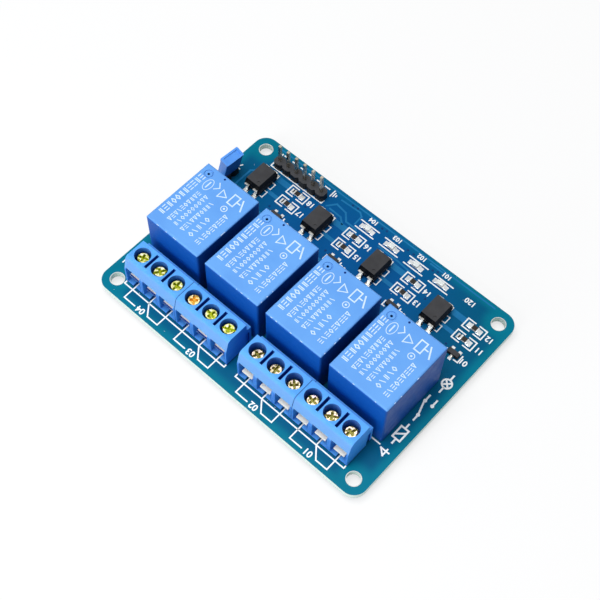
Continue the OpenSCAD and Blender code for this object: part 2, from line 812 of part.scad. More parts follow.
module resistors() {
    cap = 0.4;
    color("#2a2a2c")
    for (i = [0:channels - 1], row = [0, 1])
        translate([relay_x(i) + resistor_shift, resistor_y - row * resistor_pitch, top_z]) {
            block([resistor_l - 2 * cap + 2 * eps, resistor_w, resistor_h - 0.04], 0.02);
            for (s = [-1, 1])
                translate([s * (resistor_l - cap) / 2, 0, 0]) block([cap, resistor_w, resistor_h]);
        }
}

module indicator_lamps() {
    color("#f1f0ea")
    for (i = [0:channels - 1])
        translate([lamp_shift + (i - (channels - 1) / 2) * lamp_pitch, lamp_y, top_z]) {
            block([lamp_l, lamp_w, lamp_h * 0.5]);
            translate([0, 0, lamp_h * 0.5 - eps]) along_y(lamp_w)
                polygon([[-lamp_l * 0.32, 0], [lamp_l * 0.32, 0], [lamp_l * 0.27, lamp_h * 0.5],
                         [-lamp_l * 0.27, lamp_h * 0.5]]);
        }
}

// Flat foot with an upright tab against the body's side, out along +Y
module small_lead(w) {
    translate([-w / 2, -0.05, 0]) cube([w, 0.55, 0.12]);
    translate([-w / 2, -0.05, 0]) cube([w, 0.17, small_h * 0.55]);
}

module transistors() {
    color("#3a3a3c")
    for (i = [0:channels - 1])
        translate([relay_x(i) + transistor_shift, transistor_y, top_z]) {
            translate([0, 0, 0.1]) moulded(transistor_l, transistor_w, small_h, 0.12);
            for (sx = [-1, 1]) translate([sx * 0.95, transistor_w / 2, 0]) small_lead(0.4);
            translate([0, -transistor_w / 2, 0]) rotate([0, 0, 180]) small_lead(0.4);
        }
}

module diodes() {
    color("#3a3a3c")
    for (i = [0:channels - 1])
        translate([relay_x(i) + diode_shift, diode_y, top_z]) {
            translate([0, 0, 0.1]) moulded(diode_l, diode_w, small_h, 0.12);
            for (s = [0, 180])
                rotate([0, 0, s]) translate([diode_l / 2, 0, 0]) rotate([0, 0, -90]) small_lead(0.6);
        }
}

// ---- Parts ----

circuit_board();
solder_joints();
for (i = [1:channels]) {
    relay_cover(i - 1);
    relay_armature(i - 1);
    terminal_block(i - 1);
    optocoupler(i - 1);
}
relay_bases();
relay_bobbins();
relay_windings();
relay_yokes();
relay_contacts();
clamp_frames();
for (k = [1:poles]) {
    pressure_plate(k - 1);
    terminal_screw(k - 1);
}
optocoupler_leads();
header_housing();
header_pins_row();  // header_pins
jumper_housing();
jumper_pins_pair();  // jumper_pins
jumper_cap();
jumper_clip();
resistors();
indicator_lamps();
transistors();
diodes();
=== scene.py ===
"""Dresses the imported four-channel relay board: finishes, copper, solder, legend and studio."""

from __future__ import annotations

import json
import logging
import math
import random
from dataclasses import dataclass, field
from enum import Enum
from typing import Any, Iterable, Sequence

import bmesh
import bpy
from mathutils import Matrix, Vector

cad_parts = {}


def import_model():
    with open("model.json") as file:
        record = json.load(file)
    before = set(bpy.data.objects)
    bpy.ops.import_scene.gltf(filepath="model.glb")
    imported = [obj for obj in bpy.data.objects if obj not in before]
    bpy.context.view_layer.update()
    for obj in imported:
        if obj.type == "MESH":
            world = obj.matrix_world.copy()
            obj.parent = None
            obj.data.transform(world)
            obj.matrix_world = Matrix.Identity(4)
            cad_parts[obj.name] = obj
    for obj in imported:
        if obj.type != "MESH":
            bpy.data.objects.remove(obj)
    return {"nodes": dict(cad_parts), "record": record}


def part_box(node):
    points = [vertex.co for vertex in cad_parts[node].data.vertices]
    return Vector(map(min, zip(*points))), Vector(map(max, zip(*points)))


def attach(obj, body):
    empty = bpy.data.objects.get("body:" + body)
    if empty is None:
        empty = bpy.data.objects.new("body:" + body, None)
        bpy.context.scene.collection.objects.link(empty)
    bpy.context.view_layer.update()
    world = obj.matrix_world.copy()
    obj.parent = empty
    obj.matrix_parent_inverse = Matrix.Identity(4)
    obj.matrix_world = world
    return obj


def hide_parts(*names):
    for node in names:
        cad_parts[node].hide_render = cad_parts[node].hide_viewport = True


LOG = logging.getLogger("relay_board")
MM = 0.001
# Each stroke of ink is this much taller than the last, so that crossings share no face
STAGGER_MM = 0.001
STAGGER_STEPS = 9
# How far ink spreads round a numeral
INK_SPREAD_MM = 0.05
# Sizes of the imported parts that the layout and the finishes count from
CHIP_WIDTH_MM = 1.25
LAMP_LENGTH_MM = 2.4
HOLE_INSET_MM = 3.4
BROW_FOOT_MM = 5.9
# Height of the painted contact shadow along the terminal blocks' foot
FOOT_SHADOW_MM = 0.3
PLATE_NOSE_MM = 0.3
SEAM_MM = 0.18
MASK_SKIN_MM = 0.03
# The last screws of the first and third block, after which a dovetailed seam runs
SEAM_SCREWS = (3, 9)
# Sockets of a colour mix
MIX_A, MIX_B, MIX_OUT = 6, 7, 2
# A wave texture repeats every 0.314 / scale
WAVE_REPEAT = 0.314
Pair = tuple[float, float]
Point = Pair
Triple = tuple[float, float, float]
# Lines to draw: the points of each, from a centre, and its width
Drawing = tuple[tuple[tuple[Point, ...], float], ...]
Tree = bpy.types.NodeTree


# -------- colour and nodes


def linear(hex_colour: str) -> tuple[float, float, float, float]:
    """Turns an sRGB hex colour into linear values.

    Args:
        hex_colour: Six hex digits after a hash.

    Returns:
        The linear red, green and blue, and full opacity.
    """
    values = [int(hex_colour[i:i + 2], 16) / 255 for i in (1, 3, 5)]
    curve = [v / 12.92 if v <= 0.04045 else ((v + 0.055) / 1.055) ** 2.4 for v in values]
    return curve[0], curve[1], curve[2], 1.0


def add_node(tree: Tree, kind: str, inputs: dict[str | int, Any] | None = None,
             stops: Sequence[tuple[float, str]] = (), **settings: Any) -> Any:
    """Adds one shader node with its settings, inputs and colour stops.

    Args:
        tree: Node tree that gets the node.
        kind: Type of the node, without its prefix.
        inputs: Input socket to the output socket that feeds it, its hex colour or its value.
        stops: Position and hex colour of each stop, in rising order, for a node that has them.
        **settings: Attributes of the node itself.

    Returns:
        The node's output sockets.
    """
    node = tree.nodes.new(f"ShaderNode{kind}")
    for name, value in settings.items():
        setattr(node, name, value)
    for socket, value in (inputs or {}).items():
        if isinstance(value, bpy.types.NodeSocket):
            tree.links.new(value, node.inputs[socket])
        else:
            node.inputs[socket].default_value = linear(value) if isinstance(value, str) else value
    if stops:
        elements = node.color_ramp.elements
        while len(elements) < len(stops):
            elements.new(1.0)
        for element, (position, colour) in zip(elements, stops):
            element.position = position
            element.color = linear(colour)
    return node.outputs


def span(ends: Pair, unit: float = 1.0) -> dict[str, float]:
    """Gives a Map Range node the two ends of what it reads, in a unit."""
    return {"From Min": ends[0] * unit, "From Max": ends[1] * unit}


# -------- finishes


@dataclass(frozen=True)
class Finish:
    """A surface finish: a colour that drifts a little, a fine grain and a gloss."""

    colour: str
    drift_colour: str
    roughness: float = 0.45
    metallic: float = 0.0
    ior: float = 1.5
    specular: float = 0.5
    drift_mm: float = 6.0
    drift_detail: float = 3.0
    drift_stops: tuple[float, ...] = (0.35, 0.68)
    grain_mm: float = 0.35
    grain_bump: float = 0.12
    grain_depth_mm: float = 0.02
    rough_spread: float = 0.08
    # Gloss drifts in clouds, smaller than those of the colour
    cloud_share: float = 0.4
    cloud_span: Pair = (0.3, 0.7)
    translucency: float = 0.0
    bleed_mm: float = 1.0
    bleed_colour: Triple = (0.1, 0.4, 1.0)

    def shades(self) -> tuple[str, ...]:
        """Lists the colours that the surface drifts between."""
        return self.colour, self.drift_colour

    def colour_socket(self, tree: Tree, place: Any) -> Any:
        """Builds the colour pattern.

        Args:
            tree: Node tree of the material.
            place: Object coordinate output.

        Returns:
            The colour output.
        """
        noise = add_node(tree, "TexNoise", {"Vector": place, "Scale": 1 / (self.drift_mm * MM),
                                            "Detail": self.drift_detail})["Fac"]
        return add_node(tree, "ValToRGB", {"Fac": noise},
                        list(zip(self.drift_stops, self.shades())))["Color"]

    def grain_place(self, tree: Tree, place: Any) -> Any:
        """Gives the coordinates of the grain, which a drawn metal stretches."""
        return place

    def bump_socket(self, tree: Tree, place: Any) -> Any:
        """Builds the fine relief.

        Args:
            tree: Node tree of the material.
            place: Object coordinate output.

        Returns:
            The normal output.
        """
        grain = add_node(tree, "TexNoise", {
            "Vector": self.grain_place(tree, place), "Scale": 1 / (self.grain_mm * MM),
            "Detail": 2.0})["Fac"]
        return add_node(tree, "Bump", {"Height": grain, "Strength": self.grain_bump,
                                       "Distance": self.grain_depth_mm * MM})["Normal"]

    def metal_socket(self, tree: Tree, place: Any) -> Any:
        """Gives the fixed metallic value, or the map of a finish that is only partly metal."""
        return self.metallic

    def build(self, name: str) -> bpy.types.Material:
        """Makes the material.

        Args:
            name: Name of the material.

        Returns:
            The finished material.
        """
        material = bpy.data.materials.new(name)
        material.use_nodes = True
        tree = material.node_tree
        tree.nodes.clear()
        place = add_node(tree, "TexCoord")["Object"]
        cloud = add_node(tree, "TexNoise", {
            "Vector": place, "Scale": 1 / (self.drift_mm * self.cloud_share * MM), "Detail": 2.0})
        rough = add_node(tree, "MapRange", {
            "Value": cloud["Fac"], **span(self.cloud_span),
            "To Min": max(0.02, self.roughness - self.rough_spread),
            "To Max": min(1.0, self.roughness + self.rough_spread)})
        surface = {"Base Color": self.colour_socket(tree, place), "Roughness": rough["Result"],
                   "Normal": self.bump_socket(tree, place),
                   "Metallic": self.metal_socket(tree, place),
                   "IOR": self.ior, "Specular IOR Level": self.specular}
        if self.translucency:
            surface |= {"Subsurface Weight": self.translucency,
                        "Subsurface Radius": self.bleed_colour,
                        "Subsurface Scale": self.bleed_mm * MM}
        shader = add_node(tree, "BsdfPrincipled", surface)
        add_node(tree, "OutputMaterial", {"Surface": shader["BSDF"]})
        return material


@dataclass(frozen=True)
class MouldedBody(Finish):
    """Moulded skin with painted light and shade: a paler lit top and deeper shaded flanks, by the way
    each face looks.
    """

    front_shading_colour: str = "#1058b8"
    end_shading_colour: str = "#0b418f"
    top_span: Pair = (0.35, 0.9)
    low_shade_colour: str = ""
    low_top: float = 0.0
    low_fade_mm: float = 0.3
    seams: tuple[float, ...] = ()
    seam_shade_colour: str = "#2f66b2"
    foot_shadow_colour: str = ""
    foot_shadow_top: float = 0.0
    crevice_shade_colour: str = ""
    crevice_mm: float = 4.0
    crevice_span: Pair = (0.2, 0.92)

    def colour_socket(self, tree: Tree, place: Any) -> Any:
        """Paints light and shade by the way each face looks: the lit top's colour mixed with those of
        the shaded flanks.

        Args:
            tree: Node tree of the material.
            place: Object coordinate output.

        Returns:
            The colour output.
        """
        # Painted light and shade: each face takes a lit or shaded colour by the way it faces
        facing = add_node(tree, "TexCoord")["Normal"]
        even = add_node(tree, "VectorMath", {0: facing}, operation="ABSOLUTE")[0]
        sides = add_node(tree, "SeparateXYZ", {"Vector": even})
        axes = add_node(tree, "SeparateXYZ", {"Vector": place})
        # Painted shade: below the brow's foot the front takes a darker colour
        raised = add_node(tree, "MapRange", {
            "Value": axes["Z"], **span((self.low_top - self.low_fade_mm * MM, self.low_top))})
        front = add_node(tree, "Mix", {
            "Factor": raised["Result"], MIX_A: self.low_shade_colour or self.front_shading_colour,
            MIX_B: self.front_shading_colour}, data_type="RGBA")[MIX_OUT]
        flank = add_node(tree, "Mix", {"Factor": sides["X"], MIX_A: front,
                                       MIX_B: self.end_shading_colour}, data_type="RGBA")[MIX_OUT]
        lifted = add_node(tree, "MapRange", {"Value": sides["Z"], **span(self.top_span)},
                          interpolation_type="SMOOTHSTEP")["Result"]
        whole = add_node(tree, "Mix", {
            "Factor": lifted, MIX_A: flank, MIX_B: super().colour_socket(tree, place)},
            data_type="RGBA")[MIX_OUT]
        for seam in self.seams:
            # Painted shade along the joint between two blocks
            aside = add_node(tree, "Math", {0: axes["X"], 1: seam}, operation="SUBTRACT")[0]
            clear = add_node(tree, "Math", {0: aside}, operation="ABSOLUTE")[0]
            clean = add_node(tree, "Math", {0: clear, 1: SEAM_MM / 2 * MM},
                             operation="GREATER_THAN")[0]
            whole = add_node(tree, "Mix", {"Factor": clean, MIX_A: self.seam_shade_colour,
                                           MIX_B: whole}, data_type="RGBA")[MIX_OUT]
        if self.foot_shadow_colour:
            # Painted contact shadow: a dark band along the foot, up to a set height
            clear = add_node(tree, "Math", {0: axes["Z"], 1: self.foot_shadow_top},
                             operation="GREATER_THAN")[0]
            whole = add_node(tree, "Mix", {"Factor": clear, MIX_A: self.foot_shadow_colour,
                                           MIX_B: whole}, data_type="RGBA")[MIX_OUT]
        if self.crevice_shade_colour:
            # Painted shade gathers in the piece's own wells and slots, whatever stands round it
            opening = add_node(tree, "AmbientOcclusion", {"Distance": self.crevice_mm * MM},
                               samples=8, only_local=True)["AO"]
            bright = add_node(tree, "MapRange", {"Value": opening, **span(self.crevice_span)})
            whole = add_node(tree, "Mix", {
                "Factor": bright["Result"], MIX_A: self.crevice_shade_colour, MIX_B: whole},
                data_type="RGBA")[MIX_OUT]
        return whole


@dataclass(frozen=True)
class ScrewHead(Finish):
    """Passivated steel head in mottled tints, with painted shade deeper in the drive slots."""

    roughness: float = 0.25
    metallic: float = 1.0
    drift_mm: float = 0.8
    drift_detail: float = 1.0
    drift_stops: tuple[float, ...] = (0.34, 0.48, 0.62)
    grain_mm: float = 0.6
    grain_bump: float = 0.35
    grain_depth_mm: float = 0.08
    tint: str = "#f2efb8"
    slot_shade_colour: str = "#6f7416"
    head_top: float = 0.0
    slot_mm: Pair = (0.45, 0.12)

    def shades(self) -> tuple[str, ...]:
        """Adds the tint to the two colours."""
        return self.colour, self.drift_colour, self.tint

    def colour_socket(self, tree: Tree, place: Any) -> Any:
        """Paints shade into the slots of the mottled head, which lie below its rim.

        Args:
            tree: Node tree of the material.
            place: Object coordinate output.

        Returns:
            The colour output.
        """
        mottled = super().colour_socket(tree, place)
        # Painted shade: below the rim the slots take the slot shade colour
        height = add_node(tree, "SeparateXYZ", {"Vector": place})["Z"]
        low, high = (self.head_top - depth * MM for depth in self.slot_mm)
        clean = add_node(tree, "MapRange", {"Value": height, **span((low, high))})["Result"]
        return add_node(tree, "Mix", {"Factor": clean, MIX_A: self.slot_shade_colour,
                                      MIX_B: mottled}, data_type="RGBA")[MIX_OUT]


@dataclass(frozen=True)
class SolderMask(Finish):
    """Blue-green solder mask over glass epoxy: clear resin edges, copper pours showing through."""

    drift_detail: float = 4.0
    drift_stops: tuple[float, ...] = (0.3, 0.7)
    edge_colour: str = "#d6e6de"
    back_colour: str = "#045694"
    pour_colour: str = "#02597e"
    half_size: Pair = (0.0, 0.0)
    mask_top: float = 0.0
    mask_bottom: float = 0.0
    # Where the pour begins inside the rim and round each hole
    rim_mm: Pair = (0.6, 2.8)
    hole_zone_mm: Pair = (2.2, 4.8)
    # An oval of bluer mask over the rear half: its centre, its squeeze and how far it reaches
    blue_centre_mm: Pair = (-2.0, 16.0)
    blue_squeeze: float = 1.9
    blue_reach_mm: Pair = (10.0, 38.0)

    def colour_socket(self, tree: Tree, place: Any) -> Any:
        """Shades the mask from teal at the rim to bluer at the back, and leaves the edges bare.

        Args:
            tree: Node tree of the material.
            place: Object coordinate output.

        Returns:
            The colour output.
        """
        height = add_node(tree, "SeparateXYZ", {"Vector": place})["Z"]
        drift = super().colour_socket(tree, place)
        # Bare laminate glows teal at the rim, and the copper pour inside it is deeper
        even = add_node(tree, "VectorMath", {0: place}, operation="ABSOLUTE")[0]
        inward = add_node(tree, "VectorMath", {0: (*self.half_size, 1.0), 1: even},
                          operation="SUBTRACT")[0]
        apart = add_node(tree, "SeparateXYZ", {"Vector": inward})
        rim = add_node(tree, "Math", {0: apart["X"], 1: apart["Y"]}, operation="MINIMUM")[0]
        filled = add_node(tree, "MapRange", {"Value": rim, **span(self.rim_mm, MM)},
                          interpolation_type="SMOOTHSTEP")["Result"]
        # The pour stops short of the four screw heads
        corner = (HOLE_INSET_MM * MM, HOLE_INSET_MM * MM, 0.0)
        hole = add_node(tree, "VectorMath", {0: inward, 1: corner}, operation="SUBTRACT")[0]
        level = add_node(tree, "VectorMath", {0: hole, 1: (1.0, 1.0, 0.0)},
                         operation="MULTIPLY")[0]
        away = add_node(tree, "VectorMath", {0: level}, operation="LENGTH")["Value"]
        clear = add_node(tree, "MapRange", {"Value": away, **span(self.hole_zone_mm, MM)},
                         interpolation_type="SMOOTHSTEP")["Result"]
        poured = add_node(tree, "Math", {0: filled, 1: clear}, operation="MULTIPLY")[0]
        drift = add_node(tree, "Mix", {"Factor": poured, MIX_A: drift, MIX_B: self.pour_colour},
                         data_type="RGBA")[MIX_OUT]
        # Distance from a point near the middle of the rear half
        centre = (self.blue_centre_mm[0] * MM, self.blue_centre_mm[1] * MM, 0.0)
        middle = add_node(tree, "VectorMath", {0: place, 1: centre}, operation="SUBTRACT")[0]
        flat = add_node(tree, "VectorMath", {0: middle, 1: (1.0, self.blue_squeeze, 0.0)},
                        operation="MULTIPLY")[0]
        reach = add_node(tree, "VectorMath", {0: flat}, operation="LENGTH")["Value"]
        near = add_node(tree, "MapRange", {
            "Value": reach, **span(self.blue_reach_mm, MM), "To Min": 1.0, "To Max": 0.0},
            interpolation_type="SMOOTHSTEP")["Result"]
        blue = add_node(tree, "Mix", {"Factor": near, MIX_A: drift, MIX_B: self.back_colour},
                        data_type="RGBA")[MIX_OUT]
        # The cut edge and the hole walls are bare glass epoxy
        low = add_node(tree, "Math", {0: height, 1: self.mask_bottom}, operation="GREATER_THAN")
        high = add_node(tree, "Math", {0: height, 1: self.mask_top}, operation="LESS_THAN")
        bare = add_node(tree, "Math", {0: low[0], 1: high[0]}, operation="MULTIPLY")[0]
        return add_node(tree, "Mix", {"Factor": bare, MIX_A: blue, MIX_B: self.edge_colour},
                        data_type="RGBA")[MIX_OUT]


@dataclass(frozen=True)
class BrushedMetal(Finish):
    """Sheet or wire metal with fine drawing lines along one axis."""

    metallic: float = 1.0
    drift_mm: float = 1.5
    stretch: Triple = (1.0, 1.0, 0.08)

    def grain_place(self, tree: Tree, place: Any) -> Any:
        """Stretches the grain into drawing lines."""
        return add_node(tree, "Mapping", {"Vector": place, "Scale": self.stretch})["Vector"]


@dataclass(frozen=True)
class RaisedPlate(BrushedMetal):
    """Polished plate with a painted reflection of its blue block on the nose and painted light on a
    white root.
    """

    lit_root_colour: str = "#fffaf0"
    root_start: float = 0.0

    def nose_mask(self, tree: Tree, place: Any) -> Any:
        """Marks the polished nose with 1 and the root with 0."""
        depth = add_node(tree, "SeparateXYZ", {"Vector": place})["Y"]
        return add_node(tree, "Math", {0: depth, 1: self.root_start}, operation="LESS_THAN")[0]

    def colour_socket(self, tree: Tree, place: Any) -> Any:
        """Paints light on the root: whitens it."""
        return add_node(tree, "Mix", {
            "Factor": self.nose_mask(tree, place), MIX_A: self.lit_root_colour,
            MIX_B: super().colour_socket(tree, place)}, data_type="RGBA")[MIX_OUT]

    def metal_socket(self, tree: Tree, place: Any) -> Any:
        """Keeps bare metal to the nose."""
        return self.nose_mask(tree, place)


@dataclass(frozen=True)
class Winding(Finish):
    """Enamelled copper wire wound in level turns."""

    turn_mm: float = 0.16
    turn_bump: float = 0.6
    turn_depth_mm: float = 0.06

    def bump_socket(self, tree: Tree, place: Any) -> Any:
        """Rounds each turn of wire with a band along Z.

        Args:
            tree: Node tree of the material.
            place: Object coordinate output.

        Returns:
            The normal output.
        """
        wave = add_node(tree, "TexWave", {
            "Vector": place, "Scale": WAVE_REPEAT / (self.turn_mm * MM), "Distortion": 0.0},
            wave_type="BANDS", bands_direction="Z")["Fac"]
        return add_node(tree, "Bump", {"Height": wave, "Strength": self.turn_bump,
                                       "Distance": self.turn_depth_mm * MM})["Normal"]


class FinishKind(Enum):
    """Every finish on the board, named for its material and how it is made."""

    LAMINATE = "solder_masked_laminate"
    COPPER = "masked_copper"
    LEGEND = "legend_ink"
    SOLDER = "bright_solder"
    TIN = "tinned_brass"
    PIN_GOLD = "flash_gold_pin"
    RELAY_BLUE = "moulded_pbt_relay"
    TERMINAL_BLUE = "moulded_polyamide_terminal"
    JUMPER_BLUE = "moulded_jumper_plastic"
    PAD_PRINT = "pad_print_ink"
    VENT_MARK = "vent_shadow"
    BASE_PLASTIC = "moulded_base_plastic"
    BOBBIN = "moulded_bobbin_nylon"
    COIL = "enamelled_copper_coil"
    STEEL = "zinc_plated_steel"
    CONTACT = "silver_alloy_contact"
    SCREW_YELLOW = "yellow_passivated_screw"
    SCREW_ORANGE = "orange_passivated_screw"
    SCREW_PINK = "pink_passivated_screw"
    PLATE = "tinned_pressure_plate"
    PLATE_RAISED = "pressure_plate_painted_reflection"
    EPOXY = "moulded_black_epoxy"
    HEADER = "moulded_black_nylon"
    CERAMIC = "alumina_ceramic"
    RESISTOR_TOP = "resistor_glaze"
    LAMP = "clear_lamp_resin"
    VIA = "tented_via"


Looks = dict[FinishKind, bpy.types.Material]


def finishes() -> Looks:
    """Builds all the finishes, with the heights that some of them need read from the nodes.

    Returns:
        The material of each kind.
    """
    low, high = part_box("circuit_board")
    high_head, low_head = (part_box(f"terminal_screw_{k}")[1].z for k in (1, 12))
    plate_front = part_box("pressure_plate_1")[0].y
    seams = tuple((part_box(f"terminal_screw_{k}")[1].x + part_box(f"terminal_screw_{k + 1}")[0].x) / 2
                  for k in SEAM_SCREWS)
    kinds: dict[FinishKind, Finish] = {
        # Liquid photo-imageable mask: glossy, slightly wavy over the copper
        FinishKind.LAMINATE: SolderMask(
            "#027690", "#026e86", 0.35, specular=0.05, drift_mm=9, grain_mm=1.6, grain_bump=0.15,
            rough_spread=0.06, half_size=(high.x, high.y), mask_top=high.z - MASK_SKIN_MM * MM,
            mask_bottom=low.z + MASK_SKIN_MM * MM),
        # Etched copper under the mask: a paler, bluer band with the mask's own gloss
        FinishKind.COPPER: Finish("#2278ae", "#1c6ea4", 0.35, specular=0.06, drift_mm=5,
                                  grain_mm=1.2),
        # Copper plating under the mask's skin: a small dark dimple
        FinishKind.VIA: Finish("#0a3f78", "#083764", 0.35, specular=0.1, drift_mm=1),
        # Screen-printed epoxy ink: flat white, slightly uneven
        FinishKind.LEGEND: Finish("#ffffff", "#f6f9f8", 0.6, specular=0.2, grain_mm=0.15,
                                  drift_mm=1.5),
        # Reflowed solder: bright, with a soft frozen ripple
        FinishKind.SOLDER: Finish("#e3e5e6", "#c4c8cb", 0.22, 1.0, drift_mm=1.2, grain_mm=0.4,
                                  grain_bump=0.3),
        # Hot-dipped brass strip: a warm silver with faint lines from drawing
        FinishKind.TIN: BrushedMetal("#dcdcd8", "#c3c2bb", 0.3),
        # Drawn square wire under a thin gold flash: a dull straw tint
        FinishKind.PIN_GOLD: BrushedMetal("#c9c3b4", "#a89f8c", 0.28),
        # Glass-filled polyester: satin skin with a fine sparked grain, with painted light on its top
        # and painted shade on its flanks
        FinishKind.RELAY_BLUE: MouldedBody(
            "#66a3e9", "#5f9be4", 0.45, specular=0.2, drift_mm=7, grain_mm=0.3, grain_bump=0.1,
            front_shading_colour="#0353b0", end_shading_colour="#0a4596"),
        # Injection-moulded polyamide: matt, a little see-through, with painted light and shade on its
        # faces, below its brow, along its seams, under its foot and inside its wells
        FinishKind.TERMINAL_BLUE: MouldedBody(
            "#58a8f4", "#52a0ee", 0.5, specular=0.25, drift_mm=5, grain_mm=0.28, grain_bump=0.16,
            front_shading_colour="#6ba4e6", end_shading_colour="#348ee6", low_shade_colour="#3b82dc",
            low_top=high.z + BROW_FOOT_MM * MM, seams=seams, foot_shadow_colour="#020c22",
            foot_shadow_top=high.z + FOOT_SHADOW_MM * MM, crevice_shade_colour="#0a49b0", translucency=0.2),
        # Small injection-moulded cap: smoother, with a soft shine, with painted light on its top and
        # painted shade on its flanks
        FinishKind.JUMPER_BLUE: MouldedBody(
            "#4f97ec", "#478fe6", 0.4, specular=0.4, drift_mm=2, grain_mm=0.3,
            front_shading_colour="#4788dc", end_shading_colour="#1f5cb4"),
        # Pad-printed ink: a pale blue-white film that thins a little here and there
        FinishKind.PAD_PRINT: Finish("#d2e6fb", "#c2dcf8", 0.55, specular=0.2, drift_mm=1.2,
                                     grain_mm=0.15),
        # Painted shade of the recess that the mould's gate leaves: a dark spot
        FinishKind.VENT_MARK: Finish("#0b2f78", "#0a2a6a", 0.6, specular=0.1, drift_mm=1),
        # Moulded polyester of the hidden relay base: plain dark blue
        FinishKind.BASE_PLASTIC: Finish("#16355f", "#132f55", 0.55),
        # Natural moulded nylon: a warm off-white
        FinishKind.BOBBIN: Finish("#e8e2d0", "#ded7c2", 0.5),
        # Lacquered wire, wound: ridges of red-brown shine
        FinishKind.COIL: Winding("#b4602a", "#9a4d20", 0.32, 0.9),
        # Stamped steel, zinc plated: a cool grey with lines along the sheet
        FinishKind.STEEL: BrushedMetal("#b7bbc0", "#a2a6ab", 0.34, drift_mm=6.0,
                                       stretch=(1.0, 0.08, 1.0)),
        # Rolled copper alloy with silver faces: a pale brass
        FinishKind.CONTACT: BrushedMetal("#d0b47a", "#b99a5e", 0.3, drift_mm=6.0),
        # Yellow chromate over zinc, with green, orange and pink interference tints
        FinishKind.SCREW_YELLOW: ScrewHead("#7c8418", "#d8d878", tint="#fbfae0",
                                           slot_shade_colour="#97a022", head_top=high_head),
        FinishKind.SCREW_ORANGE: ScrewHead("#b58426", "#ecd07c", tint="#fbf4d2",
                                           slot_shade_colour="#dca23a", head_top=high_head),
        FinishKind.SCREW_PINK: ScrewHead("#5d5620", "#d6c9a2", drift_mm=0.7, tint="#f8dcd8",
                                         slot_shade_colour="#77733a", head_top=low_head),
        # Dull tin over brass, deep in its entry: reads as a matt cream
        FinishKind.PLATE: BrushedMetal("#fffdf2", "#fffaea", 0.5, 0.0, specular=1.0),
        # The same plate close under the lip, a copy with painted light: a painted reflection of the
        # block's blue on its nose and a painted lit root
        FinishKind.PLATE_RAISED: RaisedPlate(
            "#7ea4e2", "#6c92d2", 0.24, rough_spread=0.04,
            root_start=plate_front + PLATE_NOSE_MM * MM),
        # Transfer-moulded epoxy: matt with a fine spark-eroded skin, with painted light on its top and
        # painted shade on its flanks
        FinishKind.EPOXY: MouldedBody(
            "#3c3c3e", "#444446", 0.55, specular=0.12, drift_mm=2.5, grain_mm=0.2,
            grain_bump=0.35, front_shading_colour="#0d0d0f", end_shading_colour="#111114"),
        # Glass-filled nylon: a satin black with a coarser grain, with painted light on its top and
        # painted shade on its flanks
        FinishKind.HEADER: MouldedBody(
            "#3a3b3e", "#434448", 0.45, specular=0.2, drift_mm=2, grain_mm=0.25,
            grain_bump=0.25, front_shading_colour="#151618", end_shading_colour="#151618"),
        # Fired alumina: an even chalky white
        FinishKind.CERAMIC: Finish("#e9e7e0", "#dedbd2", 0.5, drift_mm=0.8),
        # Fired glass over the resistive film: brown-black with a soft gloss
        FinishKind.RESISTOR_TOP: Finish("#26221f", "#332c27", 0.35, specular=0.2, drift_mm=0.6),
        # Cast clear epoxy over a white base: pale and glossy
        FinishKind.LAMP: Finish("#f0f3f0", "#dfe6e4", 0.2, drift_mm=0.8),
    }
    return {kind: finish.build(kind.value) for kind, finish in kinds.items()}


# -------- mesh helpers


@dataclass(frozen=True)
class Brick:
    """A box of a small part in millimetres, counted from the part's centre on the board."""

    # Half its widths, then the levels of its foot and its top above the board
    half: Pair
    rise: Pair
    bevel: float
    places: tuple[Point, ...] = ((0.0, 0.0),)


def both_ends(across: float) -> tuple[Point, Point]:
    """Gives the places on either side of a centre, along X."""
    return (-across, 0.0), (across, 0.0)


